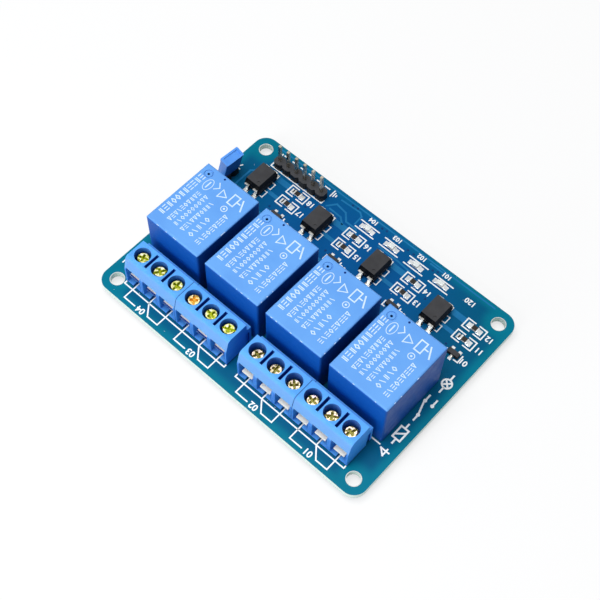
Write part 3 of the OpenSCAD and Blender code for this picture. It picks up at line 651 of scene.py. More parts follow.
@dataclass
class Shaper:
    """Collects bmesh shapes, drawn in millimetres on one level, into one piece."""

    name: str
    # The level it draws on, and the thickness and width of its strokes
    base: float = 0.0
    ink: float = 0.0
    line: float = 0.0
    mesh: bmesh.types.BMesh = field(default_factory=bmesh.new)
    strokes: int = 0

    def place(self, geometry: Iterable[Any], matrix: Matrix) -> None:
        """Moves newly made vertices by a matrix in millimetres."""
        bmesh.ops.transform(self.mesh, matrix=matrix, verts=list(geometry))

    def slab(self, low: Sequence[float], high: Sequence[float], bevel: float = 0.0) -> None:
        """Adds a box with eased edges.

        Args:
            low: Lowest corner.
            high: Highest corner.
            bevel: Width of the eased edges.
        """
        size = [h - l for l, h in zip(low, high)]
        middle = [(h + l) / 2 for l, h in zip(low, high)]
        made = bmesh.ops.create_cube(self.mesh, size=1.0)["verts"]
        self.place(made, Matrix.Translation(middle) @ Matrix.Diagonal((*size, 1.0)))
        if bevel:
            edges = list(dict.fromkeys(e for v in made for e in v.link_edges))
            bmesh.ops.bevel(self.mesh, geom=edges, offset=bevel, segments=2, profile=0.5,
                            affect="EDGES", material=-1)

    def bricks(self, centre: Point, brick: Brick) -> None:
        """Adds the boxes of one kind round a part's centre.

        Args:
            centre: The part's centre on the board.
            brick: Size of the boxes and their places.
        """
        foot, top = (self.base + level for level in brick.rise)
        for dx, dy in brick.places:
            x, y = centre[0] + dx, centre[1] + dy
            self.slab((x - brick.half[0], y - brick.half[1], foot),
                      (x + brick.half[0], y + brick.half[1], top), brick.bevel)

    def disc(self, centre: Point, radius: float, height: float, steps: int = 20,
             top_radius: float | None = None) -> None:
        """Adds an upright cylinder or cone.

        Args:
            centre: Its centre in X and Y.
            radius: Radius at its foot.
            height: Its height.
            steps: Number of its sides.
            top_radius: Radius at its top, where that differs.
        """
        made = bmesh.ops.create_cone(
            self.mesh, cap_ends=True, segments=steps, radius1=radius,
            radius2=radius if top_radius is None else top_radius, depth=height)["verts"]
        self.place(made, Matrix.Translation((*centre, self.base + height / 2)))

    def ring(self, centre: Point, radius: float, width: float, height: float,
             steps: int = 28) -> None:
        """Adds a flat ring by spinning a small rectangle.

        Args:
            centre: Its centre in X and Y.
            radius: Radius of the middle of its band.
            width: Width of the band.
            height: Its height.
            steps: Number of its sides.
        """
        corners = [(radius - width / 2, 0.0), (radius + width / 2, 0.0),
                   (radius + width / 2, height), (radius - width / 2, height)]
        verts = [self.mesh.verts.new((centre[0] + x, centre[1], self.base + z))
                 for x, z in corners]
        edges = [self.mesh.edges.new((verts[i], verts[(i + 1) % 4])) for i in range(4)]
        bmesh.ops.spin(self.mesh, geom=verts + edges, cent=(*centre, self.base),
                       axis=(0, 0, 1), angle=math.tau, steps=steps, use_merge=True)

    def stroke(self, start: Point, end: Point, width: float | None = None,
               overrun: float | None = None) -> None:
        """Adds a straight line, a hair taller than the last so that crossings share no face.

        Args:
            start: One end.
            end: The other end.
            width: Its width, where it isn't the shaper's own.
            overrun: How much longer the ink is than the line, as much as its width by default.
        """
        width = self.line if width is None else width
        self.strokes += 1
        height = self.ink + STAGGER_MM * (self.strokes % STAGGER_STEPS)
        along = Vector((end[0] - start[0], end[1] - start[1]))
        reach = along.length + (width if overrun is None else overrun)
        centre = ((start[0] + end[0]) / 2, (start[1] + end[1]) / 2, self.base + height / 2)
        made = bmesh.ops.create_cube(self.mesh, size=1.0)["verts"]
        self.place(made, Matrix.Translation(centre)
                   @ Matrix.Rotation(math.atan2(along.y, along.x), 4, "Z")
                   @ Matrix.Diagonal((reach, width, height, 1.0)))

    def path(self, points: Sequence[Point], width: float | None = None) -> None:
        """Adds a line through several points."""
        for start, end in zip(points, points[1:]):
            self.stroke(start, end, width)

    def draw(self, drawing: Drawing, centre: Point = (0.0, 0.0)) -> None:
        """Adds the lines of a drawing round a centre."""
        for points, width in drawing:
            self.path([(centre[0] + x, centre[1] + y) for x, y in points], width)

    def loop(self, points: Sequence[Point], width: float | None = None) -> None:
        """Adds a closed line through several points."""
        self.path([*points, points[0]], width)

    def numeral(self, text: str, size: float, centre: Point, turn: float = math.pi) -> None:
        """Adds plain numerals from the built-in font.

        Args:
            text: Digits to draw.
            size: Height of the font.
            centre: Centre of the digits.
            turn: Their angle about Z; most numbers read from the header's side.
        """
        curve = bpy.data.curves.new("numeral", "FONT")
        curve.body = text
        curve.size = size
        curve.align_x = curve.align_y = "CENTER"
        curve.extrude = self.ink / 2
        curve.offset = INK_SPREAD_MM
        curve.resolution_u = 3
        holder = bpy.data.objects.new("numeral", curve)
        bpy.context.scene.collection.objects.link(holder)
        bpy.context.view_layer.update()
        mesh = bpy.data.meshes.new_from_object(holder)
        mesh.transform(Matrix.Translation((*centre, self.base + self.ink / 2))
                       @ Matrix.Rotation(turn, 4, "Z"))
        self.mesh.from_mesh(mesh)
        bpy.data.objects.remove(holder)
        bpy.data.meshes.remove(mesh)
        bpy.data.curves.remove(curve)

    def finish(self, material: bpy.types.Material, slot: str,
               replaces: Sequence[str] = ()) -> None:
        """Turns the collected shapes into a piece that rides on the board.

        Args:
            material: Finish of the piece.
            slot: Not used.
            replaces: CAD nodes that the piece stands for.
        """
        bmesh.ops.scale(self.mesh, vec=(MM, MM, MM), verts=self.mesh.verts)
        bmesh.ops.recalc_face_normals(self.mesh, faces=self.mesh.faces)
        piece = linked_mesh(self.name, self.mesh, material)
        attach(piece, "board")
        if replaces:
            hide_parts(*replaces)
        LOG.info("%s: %d faces", self.name, len(piece.data.polygons))


def linked(name: str, data: Any) -> bpy.types.Object:
    """Puts a new object round a mesh, a light or a camera into the scene."""
    item = bpy.data.objects.new(name, data)
    bpy.context.scene.collection.objects.link(item)
    return item


def linked_mesh(name: str, mesh: bmesh.types.BMesh,
                material: bpy.types.Material) -> bpy.types.Object:
    """Turns a bmesh into an object in the scene and frees it.

    Args:
        name: Name of the object and its mesh.
        mesh: Shapes, in metres.
        material: Finish of the object.

    Returns:
        The new object.
    """
    data = bpy.data.meshes.new(name)
    mesh.to_mesh(data)
    mesh.free()
    data.materials.append(material)
    return linked(name, data)


def dress(name: str, material: bpy.types.Material) -> None:
    """Gives a CAD node its finish."""
    slots = FRAME["nodes"][name].data.materials
    slots.clear()
    slots.append(material)


def box_mm(node: str) -> tuple[Vector, Vector]:
    """Gives the lowest and highest corner of a CAD node in millimetres."""
    low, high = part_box(node)
    return low / MM, high / MM


def middle_mm(node: str) -> Vector:
    """Gives the centre of a CAD node's box in millimetres."""
    low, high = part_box(node)
    return (low + high) / 2 / MM


def island_centres(node: str) -> list[Point]:
    """Finds the separate solids of a CAD node.

    Args:
        node: Name of the node.

    Returns:
        The centre of each solid in X and Y, in millimetres and in rising order.
    """
    item = FRAME["nodes"][node]
    mesh = bmesh.new()
    mesh.from_mesh(item.data)
    bmesh.ops.remove_doubles(mesh, verts=mesh.verts, dist=STAGGER_MM * MM)
    mesh.verts.index_update()
    left = {vert.index: vert for vert in mesh.verts}
    centres = []
    while left:
        queue = [left.pop(min(left))]
        island = []
        while queue:
            vert = queue.pop()
            island.append(item.matrix_world @ vert.co / MM)
            near = [edge.other_vert(vert) for edge in vert.link_edges]
            queue += [left.pop(other.index) for other in near if other.index in left]
        spans = [(min(p[i] for p in island) + max(p[i] for p in island)) / 2 for i in (0, 1)]
        centres.append((spans[0], spans[1]))
    mesh.free()
    return sorted(centres)


@dataclass(frozen=True)
class Layout:
    """Places of the small parts in millimetres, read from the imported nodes."""

    top: float
    bottom: float
    corner: Point
    relays: list[Vector]
    poles: list[float]
    resistor: Vector
    resistor_rows: Pair
    opto: Vector
    transistor: Vector
    diode: Vector
    lamps: list[Point]
    joints: list[Point]

    @classmethod
    def read(cls) -> Layout:
        """Works out the layout from the boxes of the nodes.

        Returns:
            The layout, with X of the parts of a channel counted from their relay.
        """
        below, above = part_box("circuit_board")
        corner = above / MM
        relays = [middle_mm(f"relay_cover_{i}") for i in range(1, 5)]
        poles = [middle_mm(f"terminal_screw_{k}").x for k in range(1, 13)]
        across = sum(relay.x for relay in relays) / len(relays)

        def counted(node: str, start: float = across) -> Vector:
            """Counts a node's centre from a relay's, along X."""
            return middle_mm(node) - Vector((start, 0.0, 0.0))

        low, high = box_mm("resistors")
        rows = (high.y - CHIP_WIDTH_MM / 2, low.y + CHIP_WIDTH_MM / 2)
        low, high = box_mm("indicator_lamps")
        first, last = low.x + LAMP_LENGTH_MM / 2, high.x - LAMP_LENGTH_MM / 2
        lamps = [(first + (last - first) * i / 3, (low.y + high.y) / 2) for i in range(4)]
        return cls(above.z / MM, below.z / MM, (corner.x, corner.y), relays, poles,
                   counted("resistors"), rows, counted("optocoupler_1", relays[0].x),
                   counted("transistors"), counted("diodes"), lamps,
                   island_centres("solder_joints"))

    def beside(self, relay: Vector, part: Vector) -> Point:
        """Gives a part's centre in the channel of a relay."""
        return relay.x + part.x, part.y

    def chips(self, relay: Vector) -> list[Point]:
        """Gives the centres of a channel's two chip resistors, the rear one first."""
        return [(relay.x + self.resistor.x, y) for y in self.resistor_rows]


# -------- the board


@dataclass
class BoardArt:
    """Copper, pads, vias and the printed legend on the circuit board, in millimetres."""

    layout: Layout
    looks: Looks
    ink: float = 0.045
    line: float = 0.3
    copper: float = 0.015
    # Widths of the back's tracks: to the contacts, for the supply and for the signals
    power: float = 2.4
    supply: float = 1.2
    signal: float = 0.45
    # A relay's pins from its centre: coil pins, changeover contacts and their common
    coil_pin: Point = (6.0, 5.9)
    contact_pin: Point = (6.0, -7.6)
    common_pin: float = 8.15
    coil_lines: Pair = (1.0, 0.8)
    # The coils' rail behind a relay's centre, and how far short of it a switched line ends
    rail: float = 11.2
    rail_gap: float = 2.0
    # Where a power track bends over, behind its terminal
    bend: Pair = (4.5, 3.0)
    # Round pads and dimples: radius, height and radius at the top
    joint_disc: Triple = (1.12, 0.03, 1.09)
    via_disc: Triple = (0.3, 0.045, 0.24)
    via_places: tuple[Point, ...] = (
        (-9.0, 25.95), (-7.6, 26.1), (0.0, 25.7), (1.25, 25.85), (7.95, 25.2), (9.6, 25.2),
        (15.4, 24.85), (16.5, 25.3), (-16.75, 18.25), (18.7, 18.05), (9.6, 22.25),
        (-22.9, 12.8), (-5.6, 12.55), (28.95, 12.55))
    loose_tracks: Drawing = (
        (((-13.4, 21.8), (-11.9, 23.7), (-8.9, 23.3), (-7.2, 21.5), (-4.4, 21.5), (-2.7, 19.8),
          (1.6, 19.8)), 0.45),
        (((-12.3, 21.7), (-9.0, 21.6), (-7.5, 20.4), (-5.7, 20.4)), 0.45),
        (((-11.8, 25.3), (-6.5, 25.6), (-5.5, 24.9), (-5.4, 22.4)), 0.4),
        (((-31.5, 18.6), (-33.0, 17.2), (-33.0, 8.0)), 0.45),
        (((2.5, 21.5), (8.3, 21.4), (11.8, 21.1)), 0.45),
        (((14.0, 25.9), (17.6, 25.9)), 0.4),
        (((-32.0, 26.5), (31.5, 26.5)), 0.35),
    )
    channel_tracks: Drawing = (
        (((-0.1, 19.75), (2.6, 19.75)), 1.5),
        (((0.0, 15.6), (2.4, 15.6)), 1.0),
        (((-4.1, 10.9), (-4.1, 8.6), (-2.4, 7.2), (-0.4, 7.2)), 0.8),
        (((-1.5, 10.9), (-1.5, 9.8), (3.6, 9.8)), 0.8),
    )
    chip_pad: Brick = Brick((0.6, 0.68), (0.0, 0.06), 0.02, both_ends(1.3))
    opto_pad: Brick = Brick((0.65, 0.6), (0.0, 0.06), 0.02,
                            ((-1.27, -3.85), (-1.27, 3.85), (1.27, -3.85), (1.27, 3.85)))
    transistor_pad: Brick = Brick((0.4, 0.45), (0.0, 0.06), 0.02,
                                  ((-0.95, 1.15), (0.95, 1.15), (0.0, -1.15)))
    diode_pad: Brick = Brick((0.55, 0.65), (0.0, 0.06), 0.02, both_ends(1.75))
    lamp_pad: Brick = Brick((0.62, 0.6), (0.0, 0.06), 0.02, both_ends(1.35))
    # Wedges of solder: their foot from the part's centre, their width and their height
    chip_fillet: Triple = (1.0, 1.1, 0.35)
    lamp_fillet: Triple = (1.2, 0.95, 0.3)
    fillet_reach: float = 0.55
    fillet_lip: float = 0.1
    # Outlines on the legend, from the centres of the small parts
    chip_outline: Drawing = (
        (((-0.6, -1.25), (-2.55, -1.25), (-2.55, 1.25), (-0.6, 1.25)), 0.3),
        (((0.6, -1.25), (2.55, -1.25), (2.55, 1.25), (0.6, 1.25)), 0.3))
    opto_outline: Drawing = (
        (((2.0, 0.05), (2.75, 0.05), (2.75, 1.8), (2.0, 1.8)), 0.24),
        (((2.0, -2.8), (2.75, -2.8), (2.75, -1.0), (2.0, -1.0)), 0.24))
    transistor_outline: Drawing = ((((-1.3, -1.0), (-1.9, -1.0), (-1.9, 0.3)), 0.3),
                                   (((1.9, 0.9), (1.9, -1.0), (0.9, -1.0)), 0.3))
    diode_outline: Drawing = ((((-2.4, 1.2), (2.4, 1.2)), 0.3),)
    lamp_outline: Drawing = ((((-2.6, -1.12), (2.6, -1.12)), 0.3),
                             (((-2.6, 1.12), (2.6, 1.12)), 0.3))
    # Numerals by the small parts: how tall they are and where they stand
    part_numeral: float = 1.9
    chip_numeral_x: float = 9.55
    transistor_numeral: Point = (8.7, 11.5)
    lamp_numeral: float = 1.6
    lamp_numeral_at: Point = (-0.25, 25.8)
    edge_numeral: tuple[str, float, Point] = ("120", 1.8, (26.6, 24.1))
    # Outlines counted from the middle of the board; the header's is open behind, for dashes
    header_outline: Drawing = (
        (((-30.45, 25.65), (-30.45, 21.43), (-14.8, 21.43), (-14.8, 22.33)), 0.3),)
    header_dash: Point = (-29.85, 25.65)
    dash_count: int = 6
    dash_pitch: float = 2.54
    dash_l: float = 1.3
    # Earth symbol: its first bar's centre, the reach of each bar, their step and width
    earth: Point = (-14.6, 25.2)
    earth_bars: tuple[float, ...] = (1.0, 0.62, 0.26)
    earth_step: float = 0.55
    earth_line: float = 0.28
    jumper_outline: Drawing = ((((-36.4, 15.7), (-35.1, 15.7)), 0.3),
                               (((-35.7, 16.5), (-35.4, 17.0)), 0.3))
    terminal_marks: Drawing = ((((31.3, -14.7), (33.4, -14.7)), 0.3),
                               (((-36.6, -19.0), (-36.6, -20.2)), 0.3))
    # Terminal diagrams: their middle line, their low line and the tick at each screw
    diagram_rows: Triple = (-23.68, -26.2, -21.3)
    # Rim of bare laminate: its middle outside the hole, its width and its height
    rim: Triple = (0.08, 0.13, 0.02)
    # Dust keeps this far inside the board's edge and off the centres of the holes
    dust_edge: float = 1.0
    dust_hole: float = 2.0
    specks: int = 46
    speck_radius: Pair = (0.04, 0.09)
    speck_height: float = 0.03

    def pen(self, name: str) -> Shaper:
        """Starts a piece of copper on the top."""
        return Shaper(name, self.layout.top, self.copper)

    def copper_tracks(self) -> None:
        """Draws the tracks that show as paler bands under the mask."""
        pen = self.pen("copper_tracks")
        pen.draw(self.loose_tracks)
        for relay in self.layout.relays:
            pen.draw(self.channel_tracks, (relay.x, 0.0))
        pen.finish(self.looks[FinishKind.COPPER], "laminate")

    def back_copper(self) -> None:
        """Draws the tracks and round pads on the solder side."""
        layout = self.layout
        rows = [y for _, y in layout.joints]
        front, row = min(rows), max(rows)
        header = [x for x, y in layout.joints if row - y < 0.5]
        tracks = Shaper("back_tracks", ink=self.copper)
        pads, vias = Shaper("back_pads"), Shaper("back_vias")
        rail = layout.relays[0].y + self.rail
        for number, relay in enumerate(layout.relays):
            # Contacts to their terminals, each bending over in front of the relay
            left, middle, right = layout.poles[3 * number:3 * number + 3]
            across, back = self.contact_pin
            for dx, dy, pole in ((-across, back, left), (across, back, right),
                                 (0.0, self.common_pin, middle)):
                x = relay.x + dx
                tracks.path([(x, relay.y + dy), (x, front + self.bend[0]),
                             (pole, front + self.bend[1]), (pole, front)], self.power)
            # Coil pins: one to the rail and one to its transistor
            supplied, switched = relay.x - self.coil_pin[0], relay.x + self.coil_pin[0]
            coil_row, drop = relay.y + self.coil_pin[1], rail - self.rail_gap
            tracks.path([(supplied, coil_row), (supplied, rail)], self.coil_lines[0])
            tracks.path([(switched, coil_row), (switched, drop)], self.coil_lines[1])
            # Signal from the header to the channel's optocoupler
            level = row - 5.0 + number
            pin, end = header[number + 1], relay.x + 2.5
            tracks.path([(pin, row), (pin, level), (end, level), (end, level - 1.2)], self.signal)
            for place in ((switched, drop), (end, level - 1.2)):
                self.dimple(vias, place)
        edge, supply = layout.joints[0], header[0]
        last = layout.relays[-1].x
        # Supply: jumper to the rail, header to the jumper, and the header's last pin
        for points in ([(last - self.coil_pin[0], rail), (edge[0] + 2.6, rail),
                        (edge[0], edge[1] - 1.2), edge],
                       [(supply, row), (supply - 2.8, row - 3.2), (edge[0] + 2.6, row - 7.0),
                        (edge[0], edge[1] + 2.54)],
                       [(header[-1], row), (header[-1] + 1.5, row + 1.5),
                        (last + 5.0, row + 1.5)]):
            tracks.path(points, self.supply)
        radius, height, top_radius = self.joint_disc
        for joint in layout.joints:
            pads.disc(joint, radius, height, 24, top_radius)
        # Drawn upwards from nought, then turned over onto the underside
        flip = Matrix.Translation((0, 0, layout.bottom)) @ Matrix.Scale(-1, 4, (0, 0, 1))
        for pen, kind, slot in ((tracks, FinishKind.COPPER, "laminate"),
                                (pads, FinishKind.SOLDER, "solder"),
                                (vias, FinishKind.VIA, "laminate")):
            pen.place(pen.mesh.verts, flip)
            pen.finish(self.looks[kind], slot)

    def dimple(self, pen: Shaper, place: Point) -> None:
        """Adds one tented via, a small dimple with a soft rim."""
        radius, height, top_radius = self.via_disc
        pen.disc(place, radius, height, 14, top_radius)

    def vias(self) -> None:
        """Draws the tented vias on the top."""
        pen = self.pen("via_dimples")
        for place in self.via_places:
            self.dimple(pen, place)
        pen.finish(self.looks[FinishKind.VIA], "laminate")

    def legend(self) -> None:
        """Prints the white lines, boxes and plain numerals."""
        pen = Shaper("printed_legend", self.layout.top, self.ink, self.line)
        self.terminal_legend(pen)
        self.rear_legend(pen)
        self.header_legend(pen)
        self.side_strip(pen)
        pen.finish(self.looks[FinishKind.LEGEND], "laminate")

    def terminal_legend(self, pen: Shaper) -> None:
        """Prints the contact diagrams in front of the terminals.

        Args:
            pen: Shaper that collects the ink.
        """
        line, low, tick = self.diagram_rows
        poles = self.layout.poles
        for first, last in ((0, 5), (6, 11)):
            left, right = poles[first] - 2.55, poles[last] + 2.35
            pen.path([(left, line + 1.0), (left, line), (right, line), (right, line + 0.6)])
        for index, x in enumerate(poles):
            pen.stroke((x, tick), (x, line))
            channel, pole = divmod(index, 3)
            if pole == 0:
                pen.path([(x, line), (x, low), (x + 3.2, low)])
                pen.numeral(f"0{4 - channel}", 2.1, (x + 4.9, low + 0.15))
            elif pole == 1:
                pen.path([(x, line), (x + 2.1, low), (x + 5.08, low), (x + 5.08, line)])
        pen.draw(self.terminal_marks)

    def rear_legend(self, pen: Shaper) -> None:
        """Prints the outlines and numerals round the small parts.

        Args:
            pen: Shaper that collects the ink.
        """
        layout = self.layout
        for number, relay in enumerate(layout.relays):
            for row, chip in enumerate(layout.chips(relay)):
                pen.draw(self.chip_outline, chip)
                pen.numeral(str(18 - 2 * number - row), self.part_numeral,
                            (relay.x + self.chip_numeral_x, chip[1]))
            pen.draw(self.opto_outline, layout.beside(relay, layout.opto))
            pen.draw(self.transistor_outline, layout.beside(relay, layout.transistor))
            x, y = self.transistor_numeral
            pen.numeral(f"0{4 - number}", self.part_numeral, (relay.x + x, y))
            pen.draw(self.diode_outline, layout.beside(relay, layout.diode))
        for number, lamp in enumerate(layout.lamps):
            pen.draw(self.lamp_outline, lamp)
            x, y = self.lamp_numeral_at
            pen.numeral(f"10{4 - number}", self.lamp_numeral, (lamp[0] + x, y))
        pen.numeral(*self.edge_numeral)

    def header_legend(self, pen: Shaper) -> None:
        """Prints the box round the input header, an earth symbol and the jumper's outline.

        Args:
            pen: Shaper that collects the ink.
        """
        pen.draw(self.header_outline)
        for step in range(self.dash_count):
            x, y = self.header_dash[0] + step * self.dash_pitch, self.header_dash[1]
            pen.stroke((x, y), (x + self.dash_l, y))
        for step, reach in enumerate(self.earth_bars):
            x, y = self.earth[0] + step * self.earth_step, self.earth[1]
            pen.stroke((x, y - reach), (x, y + reach), self.earth_line, 0.1)
        pen.draw(self.jumper_outline)

    def side_strip(self, pen: Shaper) -> None:
        """Prints a numeral and plain circuit symbols along the right edge.

        Args:
            pen: Shaper that collects the ink.
        """
        x, half, dot, width = 35.1, 0.95, 0.42, 0.4
        # Open-topped 4 that reads from the right
        pen.path([(x + 1.0, -15.1), (x - 1.05, -15.1), (x + 0.3, -16.3), (x + 0.3, -14.6)], 0.34)
        # Coil symbol: a box between two leads, with a slanting bar
        low, high = -11.6, -8.6
        pen.loop([(x - half, low), (x - half, high), (x + half, high), (x + half, low)], width)
        pen.stroke((x - half, low + 0.7), (x + half, high - 0.7), width, 0.0)
        pen.stroke((x, low - 1.2), (x, low), width)
        pen.stroke((x, high), (x, high + 1.2), width)
        # Changeover contact symbol
        pen.stroke((x, -5.9), (x, -4.6), width)
        pen.disc((x, -4.4), dot, self.ink, 16)
        pen.stroke((x, -4.4), (x - half, -1.4), width)
        for side in (x - half, x + half):
            pen.disc((side, -0.9), dot, self.ink, 16)
            pen.stroke((side, -0.9), (side, 0.7), width)
        # Lamp symbol
        pen.ring((x, 5.2), 1.1, width, self.ink)
        for turn in (math.pi / 4, math.pi * 3 / 4):
            dx, dy = math.cos(turn) * half, math.sin(turn) * half
            pen.stroke((x - dx, 5.2 - dy), (x + dx, 5.2 + dy), width, 0.0)
        pen.stroke((x, 2.7), (x, 4.0), width)
        pen.stroke((x, 6.4), (x, 7.6), width)

    def dust(self) -> None:
        """Scatters a few pale specks of dust over the open parts of the board."""
        choose = random.Random(7)
        hole = [side - HOLE_INSET_MM for side in self.layout.corner]
        limits = [side - self.dust_edge for side in self.layout.corner]
        pen = self.pen("board_dust")
        for _ in range(self.specks):
            x, y = (choose.uniform(-limit, limit) for limit in limits)
            if math.dist((abs(x), abs(y)), hole) > self.dust_hole:
                pen.disc((x, y), choose.uniform(*self.speck_radius), self.speck_height, 8)
        pen.finish(self.looks[FinishKind.LEGEND], "laminate")

    def pads(self) -> None:
        """Adds tinned pads and solder fillets for the small parts."""
        layout = self.layout
        pen = self.pen("tinned_pads")
        for relay in layout.relays:
            for chip in layout.chips(relay):
                pen.bricks(chip, self.chip_pad)
                self.fillets(pen, chip, *self.chip_fillet)
            for part, pad in ((layout.opto, self.opto_pad),
                              (layout.transistor, self.transistor_pad),
                              (layout.diode, self.diode_pad)):
                pen.bricks(layout.beside(relay, part), pad)
        for lamp in layout.lamps:
            pen.bricks(lamp, self.lamp_pad)
            self.fillets(pen, lamp, *self.lamp_fillet)
        pen.finish(self.looks[FinishKind.SOLDER], "solder")

    def fillets(self, pen: Shaper, centre: Point, foot: float, width: float,
                height: float) -> None:
        """Adds a sloping wedge of solder against each end of a part.

        Args:
            pen: Shaper that collects the solder.
            centre: The part's centre.
            foot: From the centre to the part's end face.
            width: Width along the end face.
            height: Height against the part.
        """
        for side in (-1, 1):
            made = bmesh.ops.create_cube(pen.mesh, size=1.0)["verts"]
            pen.place(made, Matrix.Translation((0.5, 0.0, 0.5)))
            for vert in made:
                if vert.co.x > 0.5 and vert.co.z > 0.5:
                    vert.co.z = self.fillet_lip
            pen.place(made, Matrix.Translation((centre[0] + side * foot, centre[1], pen.base))
                      @ Matrix.Rotation(math.atan2(0, side), 4, "Z")
                      @ Matrix.Diagonal((self.fillet_reach, width, height, 1.0)))

    def hole_rims(self) -> None:
        """Adds the pale bare ring round each mounting hole."""
        pen = self.pen("hole_rims")
        holes = FRAME["record"]["mounts"][0]["dims"]
        outside, width, height = self.rim
        for sx in (-0.5, 0.5):
            for sy in (-0.5, 0.5):
                pen.ring((sx * holes["spacing_x_mm"], sy * holes["spacing_y_mm"]),
                         holes["hole_r_mm"] + outside, width, height, 40)
        pen.finish(self.looks[FinishKind.CERAMIC], "laminate")

    def build(self) -> None:
        """Dresses the laminate and makes everything on its surface."""
        dress("circuit_board", self.looks[FinishKind.LAMINATE])
        self.copper_tracks()
        self.back_copper()
        self.vias()
        self.legend()
        self.pads()
        self.dust()
        self.hole_rims()


# -------- relays


@dataclass
class RelayDress:
    """Pad print and finishes of the sealed relays, in millimetres."""

    looks: Looks
    relays: list[Vector]
    ink: float = 0.02
    # Rows of glyphs from a cover's centre: X, rear end, front end, how many and how high
    rows: tuple[tuple[float, float, float, int, float], ...] = (
        (-6.0, 6.4, -6.9, 11, 1.55), (-3.4, 2.6, -7.0, 10, 1.15), (-1.55, 3.0, -7.0, 10, 1.1),
        (0.45, 2.5, -7.0, 10, 1.1), (2.65, -0.8, -6.9, 5, 1.3), (5.05, 2.2, -7.2, 9, 1.2))
    # Oval, bar, chevron, triangle, box and switch, and a ring with a dot, all plain shapes
    oval: tuple[Point, Pair] = ((-3.5, 5.2), (0.95, 1.55))
    oval_steps: int = 24
    marks: Drawing = (
        (((-3.5, 4.4), (-3.5, 6.0)), 0.3),
        (((-1.9, 7.2), (-1.0, 6.2), (-1.9, 5.2)), 0.22),
        (((-0.1, 6.5), (-0.1, 4.3), (1.7, 5.4), (-0.1, 6.5)), 0.22),
        (((2.6, 7.3), (2.6, 4.6), (4.2, 4.6), (4.2, 7.3), (2.6, 7.3)), 0.3),
        (((4.2, 6.0), (5.1, 6.0)), 0.3),
        (((5.1, 7.2), (6.3, 4.8)), 0.34))
    ring: Point = (3.3, 3.0)
    gate: Point = (-1.8, 8.6)
    gate_radius: float = 0.26
    # Pale flecks, painted edge highlights that are partly mould flash, lie this far inside a cover's
    # side and below its top
    glint_inset: Pair = (0.1, 0.2)
    glint_depth: Pair = (0.16, 0.08)
    dressed: tuple[tuple[str, FinishKind], ...] = (
        ("relay_bases", FinishKind.BASE_PLASTIC), ("relay_bobbins", FinishKind.BOBBIN),
        ("relay_windings", FinishKind.COIL), ("relay_yokes", FinishKind.STEEL),
        ("relay_contacts", FinishKind.CONTACT))

    def glyph_row(self, pen: Shaper, x: float, start: float, end: float, count: int, cap: float,
                  seed: int) -> None:
        """Prints a row of small abstract shapes that stands where a line of print would be.

        Args:
            pen: Shaper that collects the ink.
            x: Middle of the row, along X.
            start: Rear end of the row, along Y.
            end: Front end of the row.
            count: Number of shapes.
            cap: Height of the shapes, along X.
            seed: Fixes the choice of shapes.
        """
        choose = random.Random(seed)
        pitch = (end - start) / count
        pen.line = cap * 0.15
        low, high = x - cap / 2 + pen.line / 2, x + cap / 2 - pen.line / 2
        half = abs(pitch) * 0.3
        for index in range(count):
            y = start + pitch * (index + 0.5)
            form = choose.randrange(5)
            if form == 0:
                pen.stroke((low, y - half * 0.6), (high, y + half * 0.6))
            elif form == 1:
                pen.loop([(low, y), (x, y - half), (high, y), (x, y + half)])
            elif form == 2:
                pen.loop([(low, y - half), (low, y + half), (high, y)])
            elif form == 3:
                for level in (low, x, high):
                    pen.stroke((level, y - half), (level, y + half))
            else:
                for across in (y - half * 0.5, y + half * 0.5):
                    pen.stroke((low, across), (high, across))

    def print_top(self, number: int, centre: Vector, top: float) -> None:
        """Prints one cover's top.

        Args:
            number: Relay number, from 1.
            centre: Centre of the cover.
            top: Level of the print.
        """
        pen = Shaper(f"relay_print_{number}", top, self.ink)
        x, y = centre.x, centre.y
        for seed, (dx, start, end, count, cap) in enumerate(self.rows, 11):
            self.glyph_row(pen, x + dx, y + start, y + end, count, cap, seed)
        (dx, dy), (wide, deep) = self.oval
        turns = [step * math.tau / self.oval_steps for step in range(self.oval_steps + 1)]
        around = [(x + dx + wide * math.cos(a), y + dy + deep * math.sin(a)) for a in turns]
        for start, end in zip(around, around[1:]):
            pen.stroke(start, end, 0.15, 0.06)
        pen.draw(self.marks, (x, y))
        ring = (x + self.ring[0], y + self.ring[1])
        pen.ring(ring, 0.7, 0.18, self.ink)
        pen.disc(ring, 0.25, self.ink, 12)
        pen.finish(self.looks[FinishKind.PAD_PRINT], "relay_blue")

    def flash_and_glints(self, number: int, middle: float) -> None:
        """Adds pale flecks on a cover's upper edges: painted edge highlights, partly flash left by
        moulding.

        Args:
            number: Relay number, from 1.
            middle: Y of the cover's centre.
        """
        low, high = box_mm(f"relay_cover_{number}")
        choose = random.Random(40 + number)
        pen = Shaper(f"relay_flash_and_glints_{number}")
        (near, far), (foot, top) = self.glint_inset, (high.z - drop for drop in self.glint_depth)
        for _ in range(4):
            x, reach = choose.uniform(low.x + 1, high.x - 1.5), choose.uniform(0.2, 0.7)
            pen.slab((x, low.y + near, foot), (x + reach, low.y + far, top))
        for _ in range(3):
            y, reach = choose.uniform(low.y + 1, middle), choose.uniform(0.2, 0.6)
            pen.slab((high.x - far, y, foot), (high.x - near, y + reach, top))
        pen.finish(self.looks[FinishKind.PAD_PRINT], "relay_blue")

    def gate_shade_spot(self, number: int, centre: Vector, top: float) -> None:
        """Paints the shade of the mould gate's recess as a dark spot near a cover's rear edge.

        Args:
            number: Relay number, from 1.
            centre: Centre of the cover.
            top: Level of the cover's top.
        """
        pen = Shaper(f"relay_gate_shade_{number}", top)
        pen.disc((centre.x + self.gate[0], centre.y + self.gate[1]), self.gate_radius, self.ink, 14)
        pen.finish(self.looks[FinishKind.VENT_MARK], "relay_blue")

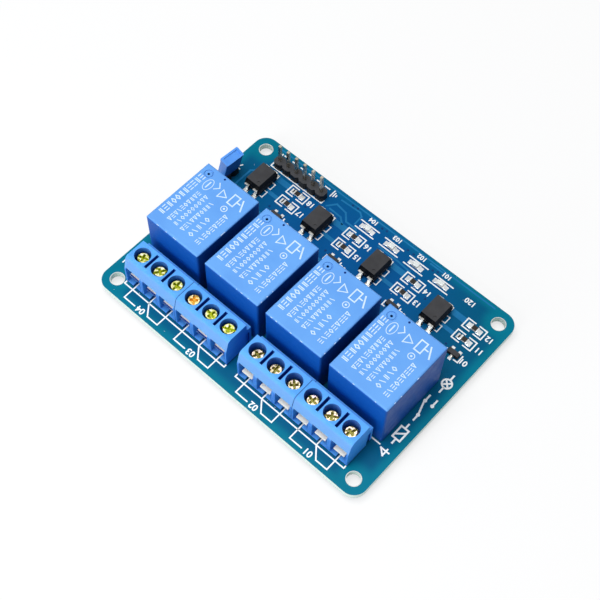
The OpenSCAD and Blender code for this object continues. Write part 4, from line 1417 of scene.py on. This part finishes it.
    def build(self) -> None:
        """Prints the covers and dresses all the relay's parts."""
        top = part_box("relay_cover_1")[1].z / MM
        for number, centre in enumerate(self.relays, 1):
            self.print_top(number, centre, top)
            self.flash_and_glints(number, centre.y)
            self.gate_shade_spot(number, centre, top)
            dress(f"relay_cover_{number}", self.looks[FinishKind.RELAY_BLUE])
            dress(f"relay_armature_{number}", self.looks[FinishKind.STEEL])
        for name, kind in self.dressed:
            dress(name, self.looks[kind])


# -------- terminals and headers


@dataclass
class TerminalDress:
    """Finishes of the terminal blocks, frames, plates and screws."""

    looks: Looks
    blocks: int = 4
    poles: int = 12
    orange_screws: tuple[int, ...] = (4,)
    # From this screw on, screws and plates stand lower and the screws have a pink tint; lower plates
    # take the plain plate, higher ones the copy with painted reflection and light
    low_from: int = 7

    def build(self) -> None:
        """Dresses each node of the terminals."""
        for number in range(1, self.blocks + 1):
            dress(f"terminal_block_{number}", self.looks[FinishKind.TERMINAL_BLUE])
        dress("clamp_frames", self.looks[FinishKind.TIN])
        for number in range(1, self.poles + 1):
            # Raised plates take the copy with a painted reflection and painted light
            plate, screw = FinishKind.PLATE_RAISED, FinishKind.SCREW_YELLOW
            if number >= self.low_from:
                plate, screw = FinishKind.PLATE, FinishKind.SCREW_PINK
            elif number in self.orange_screws:
                screw = FinishKind.SCREW_ORANGE
            dress(f"pressure_plate_{number}", self.looks[plate])
            dress(f"terminal_screw_{number}", self.looks[screw])


@dataclass
class HeaderDress:
    """Finishes of the input header, the jumper and the joints under the board."""

    looks: Looks
    dressed: tuple[tuple[str, FinishKind], ...] = (
        ("header_housing", FinishKind.HEADER), ("header_pins", FinishKind.PIN_GOLD),
        ("jumper_housing", FinishKind.HEADER), ("jumper_pins", FinishKind.PIN_GOLD),
        ("jumper_cap", FinishKind.JUMPER_BLUE), ("jumper_clip", FinishKind.TIN),
        ("solder_joints", FinishKind.SOLDER))

    def build(self) -> None:
        """Dresses housings, pins, cap and clip."""
        for name, kind in self.dressed:
            dress(name, self.looks[kind])


# -------- small parts


@dataclass
class SmallParts:
    """Optocouplers, resistors, lamps, transistors and diodes, in millimetres."""

    layout: Layout
    looks: Looks
    chip: Brick = Brick((0.66, 0.6), (0.04, 0.42), 0.03)
    chip_top: Brick = Brick((0.58, 0.57), (0.4, 0.49), 0.03)
    chip_end: Brick = Brick((0.2, 0.625), (0.0, 0.5), 0.05, both_ends(0.8))
    lamp_base: Brick = Brick((0.95, 0.6), (0.02, 0.38), 0.03)
    lamp_end: Brick = Brick((0.175, 0.6), (0.0, 0.4), 0.04, both_ends(1.025))
    lamp_lens: Brick = Brick((0.72, 0.57), (0.36, 0.8), 0.12)
    transistor: Brick = Brick((1.42, 0.63), (0.1, 1.06), 0.13)
    # Gull-wing leads: a root against the body and a foot on the board, one in front, two behind
    lead_roots: Brick = Brick((0.21, 0.105), (0.05, 0.6), 0.02,
                              ((-0.95, 0.655), (0.95, 0.655), (0.0, -0.655)))
    lead_feet: Brick = Brick((0.21, 0.31), (0.04, 0.18), 0.02,
                             ((-0.95, 0.91), (0.95, 0.91), (0.0, -0.91)))
    diode: Brick = Brick((1.32, 0.78), (0.1, 1.06), 0.12)
    diode_lead: Brick = Brick((0.3, 0.3), (0.0, 0.14), 0.02, both_ends(1.55))

    def piece(self, name: str, kind: FinishKind, slot: str,
              stock: Sequence[tuple[list[Point], Brick]], replaces: Sequence[str] = ()) -> None:
        """Makes one piece of bricks that repeat round the parts.

        Args:
            name: Name of the piece.
            kind: Its finish.
            slot: Material slot of the record.
            stock: Centres of the parts and the brick that each has.
            replaces: CAD nodes that the piece stands for.
        """
        pen = Shaper(name, self.layout.top)
        for centres, brick in stock:
            for centre in centres:
                pen.bricks(centre, brick)
        pen.finish(self.looks[kind], slot, replaces)

    def resistors(self) -> None:
        """Builds the chip resistors: a ceramic chip, a dark glazed top and tinned ends."""
        chips = [chip for relay in self.layout.relays for chip in self.layout.chips(relay)]
        self.piece("resistor_chips", FinishKind.CERAMIC, "black_plastic", [(chips, self.chip)],
                   ["resistors"])
        self.piece("resistor_tops", FinishKind.RESISTOR_TOP, "black_plastic",
                   [(chips, self.chip_top)])
        self.piece("resistor_ends", FinishKind.SOLDER, "solder", [(chips, self.chip_end)])

    def lamps(self) -> None:
        """Builds the indicator lamps: a white base, silver ends and a resin block."""
        lamps = self.layout.lamps
        self.piece("lamp_bases", FinishKind.CERAMIC, "lamp_resin", [(lamps, self.lamp_base)],
                   ["indicator_lamps"])
        self.piece("lamp_ends", FinishKind.SOLDER, "solder", [(lamps, self.lamp_end)])
        self.piece("lamp_lenses", FinishKind.LAMP, "lamp_resin", [(lamps, self.lamp_lens)])

    def discretes(self) -> None:
        """Builds the transistors and diodes: epoxy bodies with tinned leads."""
        transistors, diodes = ([self.layout.beside(relay, part) for relay in self.layout.relays]
                               for part in (self.layout.transistor, self.layout.diode))
        self.piece("discrete_bodies", FinishKind.EPOXY, "black_plastic",
                   [(transistors, self.transistor), (diodes, self.diode)],
                   ["transistors", "diodes"])
        self.piece("discrete_leads", FinishKind.TIN, "tinned",
                   [(transistors, self.lead_roots), (transistors, self.lead_feet),
                    (diodes, self.diode_lead)])

    def build(self) -> None:
        """Dresses the optocouplers and makes all the small parts."""
        for number in range(1, len(self.layout.relays) + 1):
            dress(f"optocoupler_{number}", self.looks[FinishKind.EPOXY])
        dress("optocoupler_leads", self.looks[FinishKind.TIN])
        self.resistors()
        self.lamps()
        self.discretes()


# -------- studio


@dataclass
class Studio:
    """Pale floor, soft lamps, white surroundings and the camera."""

    eye_mm: Triple = (78.97, -94.99, 222.96)
    aim_mm: Triple = (-1.24, -0.74, 3.1)
    roll_deg: float = 2.01
    lens_mm: float = 69.27
    sensor_mm: float = 36.0
    clip_start: float = 0.01
    floor_half: float = 1.5
    # The floor's shadow fades to even white between these distances, in metres
    sweep: Pair = (0.05, 0.3)
    sweep_white: Pair = (0.7, 1.0)
    # Lamps: name, place in metres, side of the square and power in watts
    lamps: tuple[tuple[str, Triple, float, float], ...] = (
        ("overhead", (-0.08, -0.1, 0.7), 0.45, 3.9), ("front_fill", (-0.08, -0.6, 0.3), 0.35, 2.0))

    def camera(self) -> None:
        """Places the camera."""
        data = bpy.data.cameras.new("camera")
        data.lens = self.lens_mm
        data.sensor_width = self.sensor_mm
        data.clip_start = self.clip_start
        camera = linked("camera", data)
        eye, aim = Vector(self.eye_mm) * MM, Vector(self.aim_mm) * MM
        forward = (aim - eye).normalized()
        right = forward.cross(Vector((0, 0, 1))).normalized()
        upward = right.cross(forward)
        roll = math.radians(self.roll_deg)
        right, upward = (right * math.cos(roll) + upward * math.sin(roll),
                         upward * math.cos(roll) - right * math.sin(roll))
        axes = Matrix((right, upward, -forward)).transposed().to_4x4()
        camera.matrix_world = Matrix.Translation(eye) @ axes
        bpy.context.scene.camera = camera

    def seen_directly(self, tree: Tree) -> Any:
        """Tells what the camera, a gloss or a clear piece sees from what only lights the board.

        Args:
            tree: Node tree of the floor or the world.

        Returns:
            A socket that is 1 where it is seen.
        """
        path = add_node(tree, "LightPath")
        seen = add_node(tree, "Math", {0: path["Is Camera Ray"], 1: path["Is Glossy Ray"]},
                        operation="MAXIMUM")[0]
        return add_node(tree, "Math", {0: seen, 1: path["Is Transmission Ray"]},
                        operation="MAXIMUM")[0]

    def floor(self) -> None:
        """Lays a plain white floor."""
        mesh = bmesh.new()
        bmesh.ops.create_grid(mesh, x_segments=1, y_segments=1, size=self.floor_half)
        material = bpy.data.materials.new("white_sweep")
        material.use_nodes = True
        tree = material.node_tree
        tree.nodes.clear()
        paper = add_node(tree, "BsdfDiffuse", {"Color": (0.9, 0.9, 0.9, 1)})[0]
        white = add_node(tree, "Emission", {"Color": (1, 1, 1, 1), "Strength": 0.99})[0]
        # Shadows fall near the board, and the sweep fades to even white beyond them
        place = add_node(tree, "TexCoord")["Object"]
        reach = add_node(tree, "VectorMath", {0: place}, operation="LENGTH")["Value"]
        fade = add_node(tree, "MapRange", {
            "Value": reach, **span(self.sweep), "To Min": self.sweep_white[0],
            "To Max": self.sweep_white[1]}, interpolation_type="SMOOTHSTEP")["Result"]
        seen = add_node(tree, "MixShader", {0: fade, 1: paper, 2: white})[0]
        mixed = add_node(tree, "MixShader", {0: self.seen_directly(tree), 1: paper, 2: seen})[0]
        add_node(tree, "OutputMaterial", {"Surface": mixed})
        linked_mesh("floor", mesh, material)

    def lamp(self, name: str, place: Sequence[float], size: float, power: float) -> None:
        """Hangs one soft square lamp that faces the board.

        Args:
            name: Name of the lamp.
            place: Its place, in metres.
            size: Side of the square.
            power: Power in watts.
        """
        data = bpy.data.lights.new(name, "AREA")
        data.size = size
        data.energy = power
        lamp = linked(name, data)
        turn = (-Vector(place)).to_track_quat("-Z", "Y").to_matrix().to_4x4()
        lamp.matrix_world = Matrix.Translation(Vector(place)) @ turn

    def surroundings(self) -> None:
        """Sets the even white surroundings and the view."""
        scene = bpy.context.scene
        scene.view_settings.view_transform = "Standard"
        world = bpy.data.worlds.new("surroundings")
        world.use_nodes = True
        tree = world.node_tree
        tree.nodes.clear()
        dim = add_node(tree, "Background", {"Color": (0.93, 0.96, 1, 1), "Strength": 0.3})[0]
        bright = add_node(tree, "Background", {"Color": (1, 1, 1, 1), "Strength": 1.0})[0]
        mixed = add_node(tree, "MixShader", {0: self.seen_directly(tree), 1: dim, 2: bright})[0]
        add_node(tree, "OutputWorld", {"Surface": mixed})
        scene.world = world

    def build(self) -> None:
        """Makes the whole studio."""
        self.camera()
        self.floor()
        self.surroundings()
        for lamp in self.lamps:
            self.lamp(*lamp)


# -------- main


FRAME: dict[str, Any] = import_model()


def main() -> None:
    logging.basicConfig(level=logging.INFO, format="%(name)s %(message)s")
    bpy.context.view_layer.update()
    looks = finishes()
    layout = Layout.read()
    Studio().build()
    BoardArt(layout, looks).build()
    RelayDress(looks, layout.relays).build()
    TerminalDress(looks).build()
    HeaderDress(looks).build()
    SmallParts(layout, looks).build()


if __name__ == "__main__":
    main()
